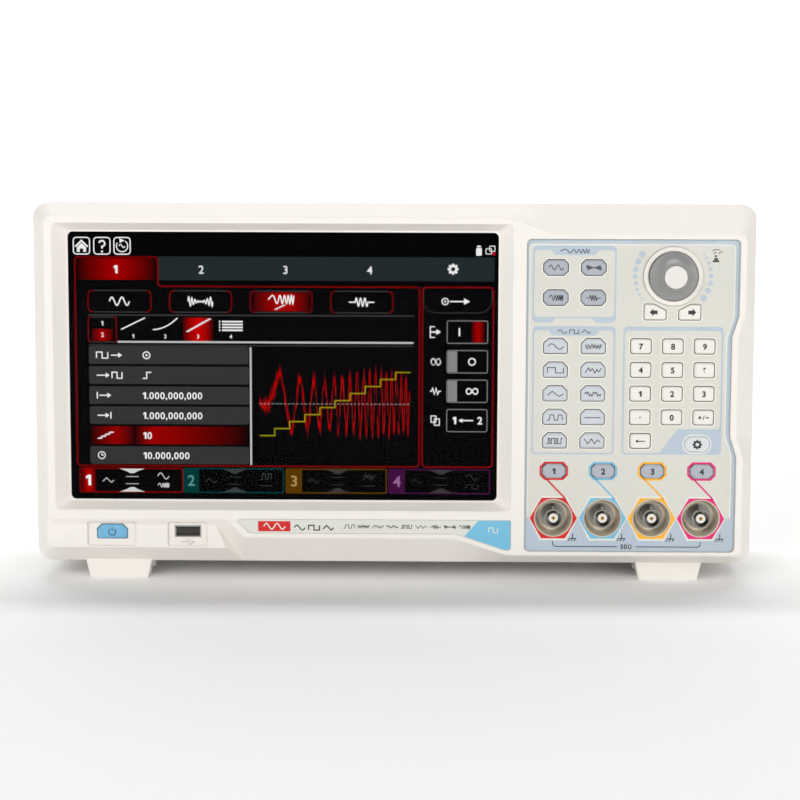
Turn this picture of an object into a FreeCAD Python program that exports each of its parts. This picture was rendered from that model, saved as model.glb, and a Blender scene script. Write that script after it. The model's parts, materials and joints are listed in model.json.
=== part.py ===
import FreeCAD, Part
import math
import os
import re

import Sketcher
from FreeCAD import Placement, Rotation, Vector

# Bench function generator with a ten-inch screen, a keypad, a push knob and four BNC outputs.
# Frame: +X to the right seen from the front, +Y to the back, +Z up.  The origin is on the bench,
# under the middle of the instrument.  Depths ending in _deep are measured back from the
# front bezel's face, which stands at face_y.

SIZES = {
    # overall
    "face_y": (-51.0, "bezel face"),
    "rim_half": (185.0, "half the bezel's width"),
    "rim_top": (195.0, "top of the bezel"),
    "rim_low": (9.2, "underside of the bezel"),
    "rim_round": (8.0, "corner radius of the bezel"),
    "rim_deep": (12.0, "where the front bevel ends"),
    "bezel_deep": (26.0, "seam between bezel and rear case"),
    "case_deep": (104.0, "rear panel"),
    "tail_deep": (112.5, "rear bumpers and connectors end"),
    # bezel ridge, the edge between the flat face and the outer bevel
    "ridge_left": (-177.5, "left edge of the flat face"),
    "ridge_right": (178.7, "right edge of the flat face"),
    "ridge_waist": (175.0, "right edge beside the number keys"),
    "ridge_screen_top": (188.3, "top edge over the screen"),
    "ridge_panel_top": (179.8, "top edge over the controls"),
    "ridge_screen_low": (33.0, "bottom edge under the screen"),
    "ridge_name_low": (23.6, "bottom edge under the name strip"),
    "ridge_panel_low": (15.0, "bottom edge under the controls"),
    "ridge_round": (4.0, "corner radius of the flat face"),
    "bend_round": (12.0, "radius of the soft bends in the edge"),
    "ridge_soft": (1.2, "rounding of the edge itself"),
    # screen
    "glass_left": (-166.4, "opening's left edge"),
    "glass_right": (53.4, "opening's right edge"),
    "glass_low": (42.4, "opening's bottom edge"),
    "glass_top": (180.2, "opening's top edge"),
    "glass_round": (2.6, "opening's corner radius"),
    "slope_side": (7.2, "width of the side slopes"),
    "slope_ends": (4.6, "height of the top and bottom slopes"),
    "rim_flat": (0.8, "flat lip round the glass"),
    "slope_deep": (6.0, "depth of the slopes"),
    "glass_deep": (7.0, "front of the glass"),
    "glass_thick": (2.0, "glass thickness"),
    "glass_lap": (3.8, "glass behind the lip"),
    "module_thick": (6.0, "display module thickness"),
    # control panel
    "panel_left": (67.4, "overlay opening's left edge"),
    "panel_right": (175.4, "overlay opening's right edge"),
    "panel_waist": (172.0, "right edge beside the number keys"),
    "panel_top": (177.4, "overlay opening's top edge"),
    "panel_low": (17.0, "overlay opening's bottom edge"),
    "panel_round": (2.6, "overlay opening's corner radius"),
    "overlay_deep": (2.0, "front of the overlay"),
    "overlay_thick": (0.6, "overlay thickness"),
    "plate_back": (4.6, "back of the key plate"),
    # keys
    "key_front": (0.7, "front of a key at rest"),
    "key_gap": (0.3, "gap round a key"),
    "key_edge": (0.5, "bevel round a key's front"),
    "flange_deep": (4.9, "front of a key's flange"),
    "flange_thick": (1.2, "flange thickness"),
    "flange_lip": (0.9, "flange beyond the key"),
    "mat_deep": (7.4, "front of the keypad mat"),
    "mat_thick": (1.4, "keypad mat thickness"),
    "board_deep": (9.0, "front of the control board"),
    "board_thick": (1.6, "circuit board thickness"),
    # knob
    "knob_x": (141.6, "knob axis"),
    "knob_z": (158.8, "knob axis"),
    "knob_radius": (12.1, "knob skirt"),
    "knob_back": (-0.9, "back of the knob, clear of the collar when pushed"),
    "knob_front": (-9.8, "front of the knob"),
    "knob_neck": (6.6, "knob's front radius"),
    "flare_ring": (16.5, "centre circle of the hollow flare"),
    "flare_radius": (10.0, "radius of the hollow flare"),
    "cap_radius": (5.75, "white centre cap"),
    "cap_front": (-10.5, "front of the cap"),
    "cap_back": (-8.5, "back of the cap"),
    "spindle_radius": (3.0, "push spindle"),
    "spindle_back": (7.8, "end of the push spindle"),
    "run_gap": (0.05, "radial clearance of a turning fit"),
    "collar_outer": (14.9, "raised collar"),
    "collar_inner": (12.7, "well inside the collar"),
    "collar_front": (0.2, "front of the collar"),
    # outputs
    "jack_z": (34.4, "height of the output row"),
    "jack_first": (82.4, "first output"),
    "jack_pitch": (25.2, "spacing of the outputs"),
    "barrel_radius": (4.8, "BNC barrel"),
    "barrel_bore": (4.05, "inside of the BNC barrel"),
    "lug_half": (5.5, "half the width over the lugs"),
    "lug_radius": (1.0, "bayonet lug"),
    "lug_back": (4.5, "lug behind the barrel's end"),
    "cup_radius": (9.8, "outside of the cup round a BNC"),
    "cup_mouth": (9.4, "inside of the cup at the front"),
    "cup_throat": (7.7, "inside of the cup at the back"),
    "cup_front": (1.7, "front of the cup"),
    "cup_floor": (11.0, "floor of the cup"),
    "cup_back": (12.2, "back of the cup"),
    "thread_radius": (4.4, "threaded stem of a BNC"),
    "relief_radius": (4.5, "BNC barrel behind its landing"),
    "landing": (3.2, "full width end of the BNC barrel"),
    "insulator_radius": (2.35, "BNC insulator"),
    "contact_radius": (1.0, "BNC centre contact"),
    "rear_jack_z": (62.0, "height of the rear BNC row"),
    "rear_jack_first": (-52.0, "first rear BNC"),
    "rear_jack_pitch": (26.0, "spacing of the rear BNCs"),
    # lower left band
    "band_deep": (1.6, "face of the band with the power button"),
    "band_left": (-178.4, "left end of the band"),
    "band_low": (17.8, "bottom edge of the band"),
    "band_right_top": (-93.2, "right end at the top"),
    "band_right_low": (-86.0, "right end at the bottom"),
    "well_floor": (3.0, "floor of the button and USB wells"),
    "well_back": (5.5, "back of the wall behind the wells"),
    "button_x": (-144.9, "power button"),
    "button_z": (26.1, "power button"),
    "button_wide": (15.4, "power button"),
    "button_tall": (7.2, "power button"),
    "button_cut": (2.6, "cut of its top corners"),
    "button_front": (1.8, "front of the button"),
    "usb_x": (-105.85, "USB port"),
    "usb_z": (26.2, "USB port"),
    "usb_wide": (13.2, "USB port's shell"),
    "usb_tall": (5.7, "USB port's shell"),
    # feet and legs
    "foot_x": (143.0, "foot centres"),
    "foot_top": (35.0, "foot's width at the top"),
    "foot_sole": (30.0, "foot's width at the bottom"),
    "leg_deep": (31.0, "tilt leg's hinge"),
    "leg_z": (6.1, "tilt leg's hinge"),
    "leg_wide": (24.0, "tilt leg's width"),
    "leg_long": (34.0, "hinge to tip"),
    "leg_half": (2.1, "half the leg's thickness"),
    "pin_radius": (1.5, "hinge pin"),
    # rear case
    "case_half": (183.5, "half the rear case's width"),
    "case_low": (10.4, "underside of the rear case"),
    "case_top": (193.8, "top of the rear case"),
    "case_round": (7.0, "corner radius of the rear case"),
    "wall": (2.5, "wall thickness"),
    "screw_x": (175.6, "case screws"),
    "screw_low": (20.5, "lower case screws"),
    "screw_high": (185.4, "upper case screws"),
    "tower_radius": (5.0, "screw tower"),
    "tower_bore": (3.2, "inside of the screw tower"),
    "screw_seat": (40.0, "seat of the screw head"),
    # fan
    "fan_x": (-120.0, "fan axis"),
    "fan_z": (104.0, "fan axis"),
    "fan_half": (30.0, "half the fan's frame"),
    "fan_bore": (28.4, "fan's tunnel"),
    "fan_deep": (86.3, "front of the fan"),
    "fan_tip": (27.4, "rotor blade tips"),
    "fan_hub": (12.5, "rotor hub"),
    # mains inlet and data ports
    "inlet_x": (136.0, "mains inlet"),
    "inlet_z": (44.0, "centre of the mains socket"),
    "inlet_wide": (24.6, "socket's width"),
    "inlet_tall": (17.0, "socket's height"),
    "switch_z": (73.0, "mains rocker"),
    "switch_pivot": (101.5, "rocker's pivot"),
    "lan_x": (62.0, "network jack"),
    "port_x": (88.0, "USB device jack"),
    "port_z": (29.8, "top of the main board"),
}

doc = FreeCAD.newDocument("FunctionGenerator")
sheet = doc.addObject("Spreadsheet::Sheet", "Dims")
nodes = []


def fill_sheet():
    for row, (name, (value, note)) in enumerate(SIZES.items(), 1):
        sheet.set(f"A{row}", name)
        sheet.set(f"B{row}", str(value))
        sheet.set(f"C{row}", note)
        sheet.setAlias(f"B{row}", name)
    doc.recompute()


def formula(text):
    """Puts the sheet's name before each dimension in a sum such as face_y + wall."""
    return re.sub(r"[a-z_]{3,}", lambda word: "Dims." + word.group(0), str(text))


def size(text):
    """The number that a sum of dimension names has now."""
    return float(sheet.evalExpression(formula(text)))


def deep(text):
    """The Y formula of a depth behind the bezel's face."""
    return f"face_y + ({text})"


def between(front, back):
    """Two depths behind the face as a pair of positions along Y."""
    return (deep(front), deep(back))


# --- small builders; every size is a formula over the sheet -----------------------------------

def block(name, x, y, z):
    """A box from its low and high formula on each axis."""
    box = doc.addObject("Part::Box", name)
    for prop, axis, (low, high) in (("Length", "x", x), ("Width", "y", y), ("Height", "z", z)):
        box.setExpression(prop, formula(f"({high}) - ({low})"))
        box.setExpression(f"Placement.Base.{axis}", formula(low))
    return box


def set_along_y(item, x, y, z):
    """Turns a round primitive so that it runs back along +Y from a point."""
    item.Placement = Placement(Vector(), Rotation(Vector(1, 0, 0), -90))
    for axis, text in (("x", x), ("y", y), ("z", z)):
        item.setExpression(f"Placement.Base.{axis}", formula(text))


def rod(name, radius, x, z, front, back):
    """A cylinder along Y between two depths."""
    item = doc.addObject("Part::Cylinder", name)
    item.setExpression("Radius", formula(radius))
    item.setExpression("Height", formula(f"({back}) - ({front})"))
    set_along_y(item, x, deep(front), z)
    return item


def cone(name, radius_front, radius_back, x, z, front, back):
    """A cone along Y between two depths."""
    item = doc.addObject("Part::Cone", name)
    item.setExpression("Radius1", formula(radius_front))
    item.setExpression("Radius2", formula(radius_back))
    item.setExpression("Height", formula(f"({back}) - ({front})"))
    set_along_y(item, x, deep(front), z)
    return item


def join(name, parts):
    whole = doc.addObject("Part::MultiFuse", name)
    whole.Shapes = parts
    return whole


def group(name, parts):
    whole = doc.addObject("Part::Compound", name)
    whole.Links = parts
    return whole


def cut(name, base, tools):
    """The base less its tools."""
    result = doc.addObject("Part::Cut", name)
    result.Base = base
    result.Tool = tools[0] if len(tools) == 1 else join(name + "_tools", tools)
    return result


def shaped(name, shape):
    """A document object that holds a shape built straight from the sheet's sizes."""
    item = doc.addObject("Part::Feature", name)
    item.Shape = shape
    return item


def piece(item, label):
    """Marks a finished sub-part, whose label names its file."""
    item.Label = label
    nodes.append(item)
    return item


# --- outlines ---------------------------------------------------------------------------------

def rounding(before, corner, after, radius):
    """Start, middle and end of the arc that rounds a corner."""
    back = (before - corner).normalize()
    ahead = (after - corner).normalize()
    half = back.getAngle(ahead) / 2
    reach = radius / math.tan(half)
    centre = corner + (back + ahead).normalize() * (radius / math.sin(half))
    middle = centre + (corner - centre).normalize() * radius
    return corner + back * reach, middle, corner + ahead * reach


def closed_wire(spans):
    """A wire from spans of two points, a line, or three, an arc."""
    edges = []
    for span in spans:
        if len(span) == 2:
            edges.append(Part.makeLine(*span))
        else:
            edges.append(Part.Arc(*span).toShape())
    return Part.Wire(edges)


def outline(points, y):
    """The closed wire through (x, z, corner radius) points at one Y."""
    corners = [Vector(x, y, z) for x, z, _ in points]
    spans = []
    arcs = []
    for index, (_, _, radius) in enumerate(points):
        before = corners[index - 1]
        after = corners[(index + 1) % len(corners)]
        if radius > 0:
            arcs.append(rounding(before, corners[index], after, radius))
        else:
            arcs.append((corners[index], corners[index], corners[index]))
    for index, arc in enumerate(arcs):
        if points[index][2] > 0:
            spans.append(arc)
        spans.append((arc[2], arcs[(index + 1) % len(arcs)][0]))
    return closed_wire(spans)


def slab(points, y_low, y_high):
    """The solid between two Y values inside an outline."""
    face = Part.Face(outline(points, y_low))
    return face.extrude(Vector(0, y_high - y_low, 0))


def funnel(front_points, y_front, back_points, y_back):
    """The straight-sided solid from one outline to another with as many corners."""
    return Part.makeLoft([outline(front_points, y_front), outline(back_points, y_back)], True, True)


def box_points(left, right, low, top, radius):
    return [(left, top, radius), (right, top, radius), (right, low, radius), (left, low, radius)]


# --- keys -------------------------------------------------------------------------------------

def key_list():
    """Name, centre, width, height and corner style of every panel key."""
    keys = []
    for row, names in enumerate((("continuous", "modulate"), ("sweep", "burst"))):
        for column, name in enumerate(names):
            keys.append((f"key_{name}", 82.3 + 19.1 * column, 163.0 - 15.3 * row, 12.3, 7.7, "octagon"))
    waves = (("sine", "noise"), ("square", "arb"), ("ramp", "harmonic"), ("pulse", "dc"), ("prbs", "user"))
    for row, names in enumerate(waves):
        for column, name in enumerate(names):
            keys.append((f"key_{name}", 82.5 + 19.2 * column, 123.1 - 12.13 * row, 12.0, 7.6, "arch"))
    digits = (("7", "8", "9"), ("4", "5", "6"), ("1", "2", "3"), ("point", "0", "sign"))
    for row, names in enumerate(digits):
        for column, name in enumerate(names):
            keys.append((f"key_{name}", 125.9 + 16.2 * column, 123.1 - 12.13 * row, 10.2, 7.4, "cushion"))
    keys.append(("key_backspace", 126.3, 74.5, 10.2, 7.4, "cushion"))
    keys.append(("key_utility", 155.4, 72.9, 13.0, 8.1, "stadium"))
    keys.append(("key_left", 132.8, 140.6, 10.9, 7.8, "left"))
    keys.append(("key_right", 150.4, 140.6, 10.9, 7.8, "right"))
    for channel in range(4):
        keys.append((f"key_channel_{channel + 1}", 82.4 + 25.2 * channel, 58.8, 11.6, 7.4, "octagon"))
    return keys


# Corner cuts by style, clockwise from the top left: (along x, along z) in millimetres.
CORNERS = {
    "octagon": ((2.1, 2.1), (2.1, 2.1), (2.1, 2.1), (2.1, 2.1)),
    "arch": ((2.5, 2.5), (2.5, 2.5), (0.7, 0.7), (0.7, 0.7)),
    "cushion": ((0.9, 0.9), (0.9, 0.9), (0.9, 0.9), (0.9, 0.9)),
    "left": ((0.6, 0.6), (6.0, 3.1), (0.6, 0.6), (0.6, 0.6)),
    "right": ((6.0, 3.1), (0.6, 0.6), (0.6, 0.6), (0.6, 0.6)),
}


def key_points(x, z, wide, tall, style, grow=0.0):
    """A key's outline, grown all round for its hole or its flange."""
    half_w = wide / 2 + grow
    half_t = tall / 2 + grow
    if style == "stadium":
        return box_points(x - half_w, x + half_w, z - half_t, z + half_t, half_t - 0.05)
    signs = ((-1, 1), (1, 1), (1, -1), (-1, -1))
    points = []
    for index, ((side, up), (cut_x, cut_z)) in enumerate(zip(signs, CORNERS[style])):
        along = (x + side * (half_w - cut_x), z + up * half_t, 0)
        down = (x + side * half_w, z + up * (half_t - cut_z), 0)
        points += [down, along] if index % 2 == 0 else [along, down]
    return points


def edge_names(shape, test):
    return [f"Edge{number}" for number, edge in enumerate(shape.Edges, 1) if test(edge)]


def along_depth(edge):
    return abs(edge.tangentAt(edge.FirstParameter).y) > 0.9


def corner_name(shape, side, up):
    """The name of the edge along Y that stands farthest out towards one corner."""
    def reach(numbered):
        middle = numbered[1].CenterOfMass
        return middle.x * side + middle.z * up
    edges = [(number, edge) for number, edge in enumerate(shape.Edges, 1) if along_depth(edge)]
    return f"Edge{max(edges, key=reach)[0]}"


def front_edge(edge):
    return all(abs(vertex.Y) < 1e-6 for vertex in edge.Vertexes)


def dressed_key(label, x, z, wide, tall, style, front, flange_front):
    """A key as a body: a cap with its corners cut, a bevelled front and a retaining flange."""
    body = doc.addObject("PartDesign::Body", label)
    cap = body.newObject("PartDesign::AdditiveBox", "Cap")
    cap.setExpression("Length", str(wide))
    cap.setExpression("Height", str(tall))
    cap.setExpression("Width", formula(f"({flange_front}) - ({front})"))
    cap.setExpression("Placement.Base.x", str(-wide / 2))
    cap.setExpression("Placement.Base.z", str(-tall / 2))
    doc.recompute()
    last = cap
    if style == "stadium":
        ends = body.newObject("PartDesign::Fillet", "Ends")
        ends.Base = (last, edge_names(last.Shape, along_depth))
        ends.setExpression("Radius", str(tall / 2 - 0.05))
        doc.recompute()
        last = ends
    else:
        for (side, up), (cut_x, cut_z) in zip(((-1, 1), (1, 1), (1, -1), (-1, -1)), CORNERS[style]):
            corner = body.newObject("PartDesign::Chamfer", "Corner")
            corner.Base = (last, [corner_name(last.Shape, side, up)])
            corner.ChamferType = 1
            swapped = side < 0
            corner.Size = cut_z if swapped else cut_x
            corner.Size2 = cut_x if swapped else cut_z
            doc.recompute()
            last = corner
    bevel = body.newObject("PartDesign::Chamfer", "Bevel")
    bevel.Base = (last, edge_names(last.Shape, front_edge))
    bevel.setExpression("Size", formula("key_edge"))
    flange = body.newObject("PartDesign::AdditiveBox", "Flange")
    flange.setExpression("Length", formula(f"{wide} + 2 * flange_lip"))
    flange.setExpression("Height", formula(f"{tall} + 2 * flange_lip"))
    flange.setExpression("Width", formula("flange_thick"))
    flange.setExpression("Placement.Base.x", formula(f"-{wide} / 2 - flange_lip"))
    flange.setExpression("Placement.Base.y", formula(f"({flange_front}) - ({front})"))
    flange.setExpression("Placement.Base.z", formula(f"-{tall} / 2 - flange_lip"))
    body.setExpression("Placement.Base.x", formula(x))
    body.setExpression("Placement.Base.y", formula(deep(front)))
    body.setExpression("Placement.Base.z", formula(z))
    doc.recompute()
    return piece(body, label)


def panel_keys():
    for name, x, z, wide, tall, style in key_list():
        dressed_key(name, x, z, wide, tall, style, "key_front", "flange_deep")


def key_openings(name, grow, front, back):
    """The holes for every panel key, as one group of tools."""
    holes = []
    for _, x, z, wide, tall, style in key_list():
        holes.append(slab(key_points(x, z, wide, tall, style, grow), size(deep(front)), size(deep(back))))
    return shaped(name, Part.makeCompound(holes))


def power_button():
    CORNERS["power"] = ((size("button_cut"), size("button_cut")),) * 2 + ((0.6, 0.6),) * 2
    dressed_key("power_button", "button_x", "button_z", size("button_wide"), size("button_tall"),
                "power", "button_front", "well_back + key_gap")


# --- front bezel ------------------------------------------------------------------------------

def ridge_and_rim():
    """The flat face's edge and, corner for corner, the rim that its bevel runs out to."""
    rim = size("rim_half")
    top = size("rim_top")
    low = size("rim_low")
    left = size("ridge_left")
    right = size("ridge_right")
    waist = size("ridge_waist")
    small = size("ridge_round")
    big = size("rim_round")
    bend = size("bend_round")
    pairs = [
        ((left, size("ridge_screen_top"), small), (-rim, top, big)),
        ((59.0, size("ridge_screen_top"), bend), (None, top, 0)),
        ((80.6, size("ridge_panel_top"), bend), (None, top, 0)),
        ((right, size("ridge_panel_top"), small), (rim, top, big)),
        ((right, 141.5, 0), (rim, 141.5, 0)),
        ((waist, 128.3, 0), (rim, 128.3, 0)),
        ((waist, 76.8, 0), (rim, 76.8, 0)),
        ((right, 66.3, 0), (rim, 66.3, 0)),
        ((right, size("ridge_panel_low"), small), (rim, low, big)),
        ((57.7, size("ridge_panel_low"), bend), (None, low, 0)),
        ((31.9, size("ridge_name_low"), bend), (None, low, 0)),
        ((-76.5, size("ridge_name_low"), small), (None, low, 0)),
        ((-85.2, size("ridge_screen_low"), small), (None, low, 0)),
        ((left, size("ridge_screen_low"), small), (-rim, low, big)),
    ]
    return pairs


def bevelled_front():
    """Ruled solid from the flat face's edge to the rim, pairing each arc or line with its partner."""
    pairs = ridge_and_rim()
    y_face = size("face_y")
    y_rim = size("face_y + rim_deep")
    count = len(pairs)
    corners = [Vector(ridge[0], y_face, ridge[1]) for ridge, _ in pairs]
    outer = [Vector(ridge[0] if rim[0] is None else rim[0], y_rim, rim[1]) for ridge, rim in pairs]
    inner_arcs = []
    outer_arcs = []
    for index, (ridge, rim) in enumerate(pairs):
        after = (index + 1) % count
        if ridge[2] > 0:
            arc = rounding(corners[index - 1], corners[index], corners[after], ridge[2])
        else:
            arc = (corners[index],) * 3
        inner_arcs.append(arc)
        if rim[2] > 0:
            outer_arcs.append(rounding(outer[index - 1], outer[index], outer[after], rim[2]))
        elif rim[0] is None:
            outer_arcs.append((Vector(arc[0].x, y_rim, rim[1]), None, Vector(arc[2].x, y_rim, rim[1])))
        else:
            outer_arcs.append((outer[index],) * 3)
    face_spans = []
    rim_spans = []
    for index, (ridge, rim) in enumerate(pairs):
        after = (index + 1) % count
        if ridge[2] > 0:
            face_spans.append(inner_arcs[index])
            if rim[2] > 0:
                rim_spans.append(outer_arcs[index])
            else:
                rim_spans.append((outer_arcs[index][0], outer_arcs[index][2]))
        face_spans.append((inner_arcs[index][2], inner_arcs[after][0]))
        rim_spans.append((outer_arcs[index][2], outer_arcs[after][0]))
    front = Part.makeLoft([closed_wire(face_spans), closed_wire(rim_spans)], True, True)
    ridge = [edge for edge in front.Edges
             if all(abs(vertex.Y - y_face) < 1e-6 for vertex in edge.Vertexes)]
    return front.makeFillet(size("ridge_soft"), ridge)


def band_block():
    """The raised band at the lower left that carries the power button and the USB port."""
    top = size("ridge_screen_low + 1")
    low = size("band_low")
    rim_low = size("rim_low")
    left = size("band_left")
    rim = size("rim_half")
    front = [(left, top, 0), (size("band_right_top"), top, 0),
             (size("band_right_low"), low, 0), (left, low, size("ridge_round"))]
    back = [(-rim, top, 0), (size("band_right_top + 4"), top, 0),
            (size("band_right_low + 8"), rim_low, 0), (-rim, rim_low, size("rim_round"))]
    return funnel(front, size(deep("band_deep")), back, size(deep("rim_deep")))


def bezel_body():
    """The bezel's outer form before anything is cut from it."""
    rim = size("rim_half")
    sides = box_points(-rim, rim, size("rim_low"), size("rim_top"), size("rim_round"))
    skirt = slab(sides, size(deep("rim_deep")), size(deep("bezel_deep")))
    parts = [shaped("bezel_front", bevelled_front()), shaped("bezel_band", band_block()),
             shaped("bezel_skirt", skirt)]
    for side in (-1, 1):
        parts.append(foot(f"front_foot_{side}", f"{side} * foot_x", "rim_deep - 1.2", "rim_deep + 13"))
    return join("bezel_form", parts)


def foot(name, x, front, back):
    """A foot that narrows towards its sole, from inside the case down to the bench."""
    item = doc.addObject("Part::Wedge", name)
    item.Placement = Placement(Vector(), Rotation(Vector(1, 0, 0), -90))
    depth = f"(({back}) - ({front}))"
    rules = {
        "Xmin": "-foot_top / 2", "Xmax": "foot_top / 2",
        "X2min": "-foot_sole / 2", "X2max": "foot_sole / 2",
        "Zmin": "0", "Zmax": depth, "Z2min": "1", "Z2max": f"{depth} - 1",
        "Ymin": "0", "Ymax": "case_low + 1",
        "Placement.Base.x": x, "Placement.Base.y": deep(front), "Placement.Base.z": "case_low + 1",
    }
    for prop, text in rules.items():
        item.setExpression(prop, formula(text))
    return item


def screen_opening():
    """The sloped surround, the hole through the lip and the pocket for the glass."""
    left = size("glass_left")
    right = size("glass_right")
    low = size("glass_low")
    top = size("glass_top")
    flat = size("rim_flat")
    side = size("slope_side")
    ends = size("slope_ends")
    radius = size("glass_round")
    mouth = box_points(left - side, right + side, low - ends, top + ends, radius)
    lip = box_points(left - flat, right + flat, low - flat, top + flat, radius + flat)
    hole = box_points(left, right, low, top, radius)
    slopes = funnel(mouth, size("face_y"), lip, size(deep("slope_deep")))
    through = slab(hole, size("face_y"), size(deep("glass_deep + 1")))
    lap = size("glass_lap + 0.4")
    pocket = slab(box_points(left - lap, right + lap, low - lap, top + lap, 1.0),
                  size(deep("glass_deep")), size(deep("bezel_deep + 1")))
    return [shaped("screen_slopes", slopes), shaped("screen_hole", through),
            shaped("screen_pocket", pocket)]


def panel_points(grow=0.0):
    """The outline of the control panel's overlay, with its waist beside the number keys."""
    left = size("panel_left") - grow
    right = size("panel_right") + grow
    waist = size("panel_waist") + grow
    low = size("panel_low") - grow
    top = size("panel_top") + grow
    radius = size("panel_round")
    return [(left, top, radius), (right, top, radius), (right, 138.7, 0), (waist, 127.9, 0),
            (waist, 76.8, 0), (right, 66.4, 0), (right, low, radius), (left, low, radius)]


def name_strip():
    """The shallow recess for the name strip under the screen."""
    points = [(-81.0, 33.2, 0.8), (60.6, 33.2, 1.0), (60.6, 17.6, 1.6), (57.2, 17.6, 1.0),
              (32.4, 25.9, 3.0), (-73.8, 25.9, 1.0)]
    return shaped("name_recess", slab(points, size("face_y"), size(deep("0.6"))))


def wells():
    """Shallow rectangular wells round the power button and the USB port, with their holes."""
    floor = size(deep("well_floor"))
    front = size("face_y")
    power = slab(box_points(-157.6, -132.5, 18.8, 31.3, 1.2), front, floor)
    usb = slab(box_points(-116.1, -95.7, 18.8, 31.3, 1.2), front, floor)
    button = key_points(size("button_x"), size("button_z"), size("button_wide"), size("button_tall"),
                        "power", size("key_gap"))
    port = block("usb_hole", ("usb_x - usb_wide / 2 - 0.2", "usb_x + usb_wide / 2 + 0.2"),
                 between("0", "bezel_deep"),
                 ("usb_z - usb_tall / 2 - 0.2", "usb_z + usb_tall / 2 + 0.2"))
    return [shaped("power_well", power), shaped("usb_well", usb), port,
            shaped("button_hole", slab(button, front, size(deep("bezel_deep"))))]


def bezel_hollows():
    """The space inside the bezel, in four steps that follow its outer form."""
    rear = deep("bezel_deep + 1")
    return [
        block("hollow_back", ("-rim_half + 3.5", "rim_half - 3.5"), (deep("14.5"), rear),
              ("rim_low + wall + 0.8", "rim_top - 3.5")),
        block("hollow_panel", ("panel_left - 3.4", "panel_waist + 2.4"), (deep("plate_back"), rear),
              ("panel_low - 0.4", "panel_top - 0.6")),
        block("hollow_band", ("button_x - 16", "band_right_top - 1"), (deep("well_back"), rear),
              ("band_low + 0.4", "ridge_screen_low")),
    ]


def screw_places():
    return [(side, z) for z in ("screw_low", "screw_high") for side in ("-screw_x", "screw_x")]


def front_bezel():
    form = bezel_body()
    tools = bezel_hollows() + screen_opening() + wells()
    tools.append(name_strip())
    recess_floor = size(deep("overlay_deep + overlay_thick"))
    tools.append(shaped("panel_recess", slab(panel_points(), size("face_y"), recess_floor)))
    hollow = cut("bezel_shell", form, tools)
    extras = [rod("collar", "collar_outer", "knob_x", "knob_z", "collar_front", "plate_back")]
    for number, (x, z) in enumerate(screw_places()):
        extras.append(rod(f"boss_{number}", "4", x, z, "13", "screw_seat - 4"))
    solid = join("bezel_solid", [hollow] + extras)
    last = [rod("collar_well", "collar_inner", "knob_x", "knob_z", "-1", "overlay_deep + overlay_thick"),
            rod("bushing_hole", "4.6", "knob_x", "knob_z", "0", "plate_back + 1"),
            key_openings("plate_holes", size("key_gap"), "0", "plate_back + 1")]
    for index in range(4):
        last.append(rod(f"cup_hole_{index}", "cup_radius + 0.1", f"jack_first + {index} * jack_pitch",
                        "jack_z", "0", "bezel_deep"))
    for number, (x, z) in enumerate(screw_places()):
        last.append(rod(f"pilot_{number}", "1.5", x, z, "24", "screw_seat"))
    piece(cut("bezel_finished", solid, last), "front_bezel")


# --- what sits in the bezel -------------------------------------------------------------------

def panel_overlay():
    plate = shaped("overlay_plate", slab(panel_points(-0.15), size(deep("overlay_deep")),
                                         size(deep("overlay_deep + overlay_thick"))))
    holes = [key_openings("overlay_holes", size("key_gap + 0.1"), "0", "plate_back"),
             rod("overlay_ring", "collar_outer + 0.15", "knob_x", "knob_z", "0", "plate_back")]
    for index in range(4):
        holes.append(rod(f"overlay_cup_{index}", "cup_radius + 0.1", f"jack_first + {index} * jack_pitch",
                         "jack_z", "0", "plate_back"))
    piece(cut("overlay_cut", plate, holes), "panel_overlay")


def display():
    lap = "glass_lap"
    back = "glass_deep + glass_thick"
    piece(block("glass", (f"glass_left - {lap}", f"glass_right + {lap}"), between("glass_deep", back),
                (f"glass_low - {lap}", f"glass_top + {lap}")), "display_glass")
    panel = block("panel", ("glass_left - 2.6", "glass_right + 2.6"),
                  between(back, f"{back} + module_thick"),
                  ("glass_low - 2.6", "glass_top + 2.6"))
    driver = block("driver", ("glass_left + 30", "glass_right - 30"),
                   between(f"{back} + module_thick", f"{back} + module_thick + 3"),
                   ("glass_low + 4", "glass_low + 26"))
    piece(join("display_stack", [panel, driver]), "display_module")


def keypad_mat():
    sheet_area = block("mat_sheet", ("panel_left + 0.8", "panel_waist - 1.2"),
                       between("mat_deep", "mat_deep + mat_thick"), ("47.5", "panel_top - 1.4"))
    encoder_gap = block("mat_gap", ("knob_x - 8.2", "knob_x + 8.2"),
                        between("mat_deep - 1", "board_deep + 1"),
                        ("knob_z - 8.2", "knob_z + 8.2"))
    piece(cut("mat_cut", sheet_area, [encoder_gap]), "keypad_mat")


def control_board():
    board = block("board", ("panel_left + 0.8", "panel_waist - 1.2"),
                  between("board_deep", "board_deep + board_thick"), ("47.5", "panel_top - 1.4"))
    chips = [block(f"chip_{number}", (x, f"{x} + {wide}"),
                   between("board_deep + board_thick", "board_deep + board_thick + 1.6"),
                   (z, f"{z} + {tall}"))
             for number,
             (x, z, wide, tall) in enumerate(((90, 120, 14, 14), (120, 95, 10, 10), (84, 60, 40, 7)))]
    spindle_gap = rod("board_hole", "spindle_radius + 0.4", "knob_x", "knob_z", "board_deep - 1",
                      "board_deep + board_thick + 3")
    button_board = block("button_board", ("button_x - 12", "button_x + 12"),
                         between("board_deep", "board_deep + board_thick"),
                         ("band_low + 1", "ridge_screen_low - 1"))
    main = cut("board_cut", join("board_parts", [board] + chips), [spindle_gap])
    piece(group("control_boards", [main, button_board]), "control_board")


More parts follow.
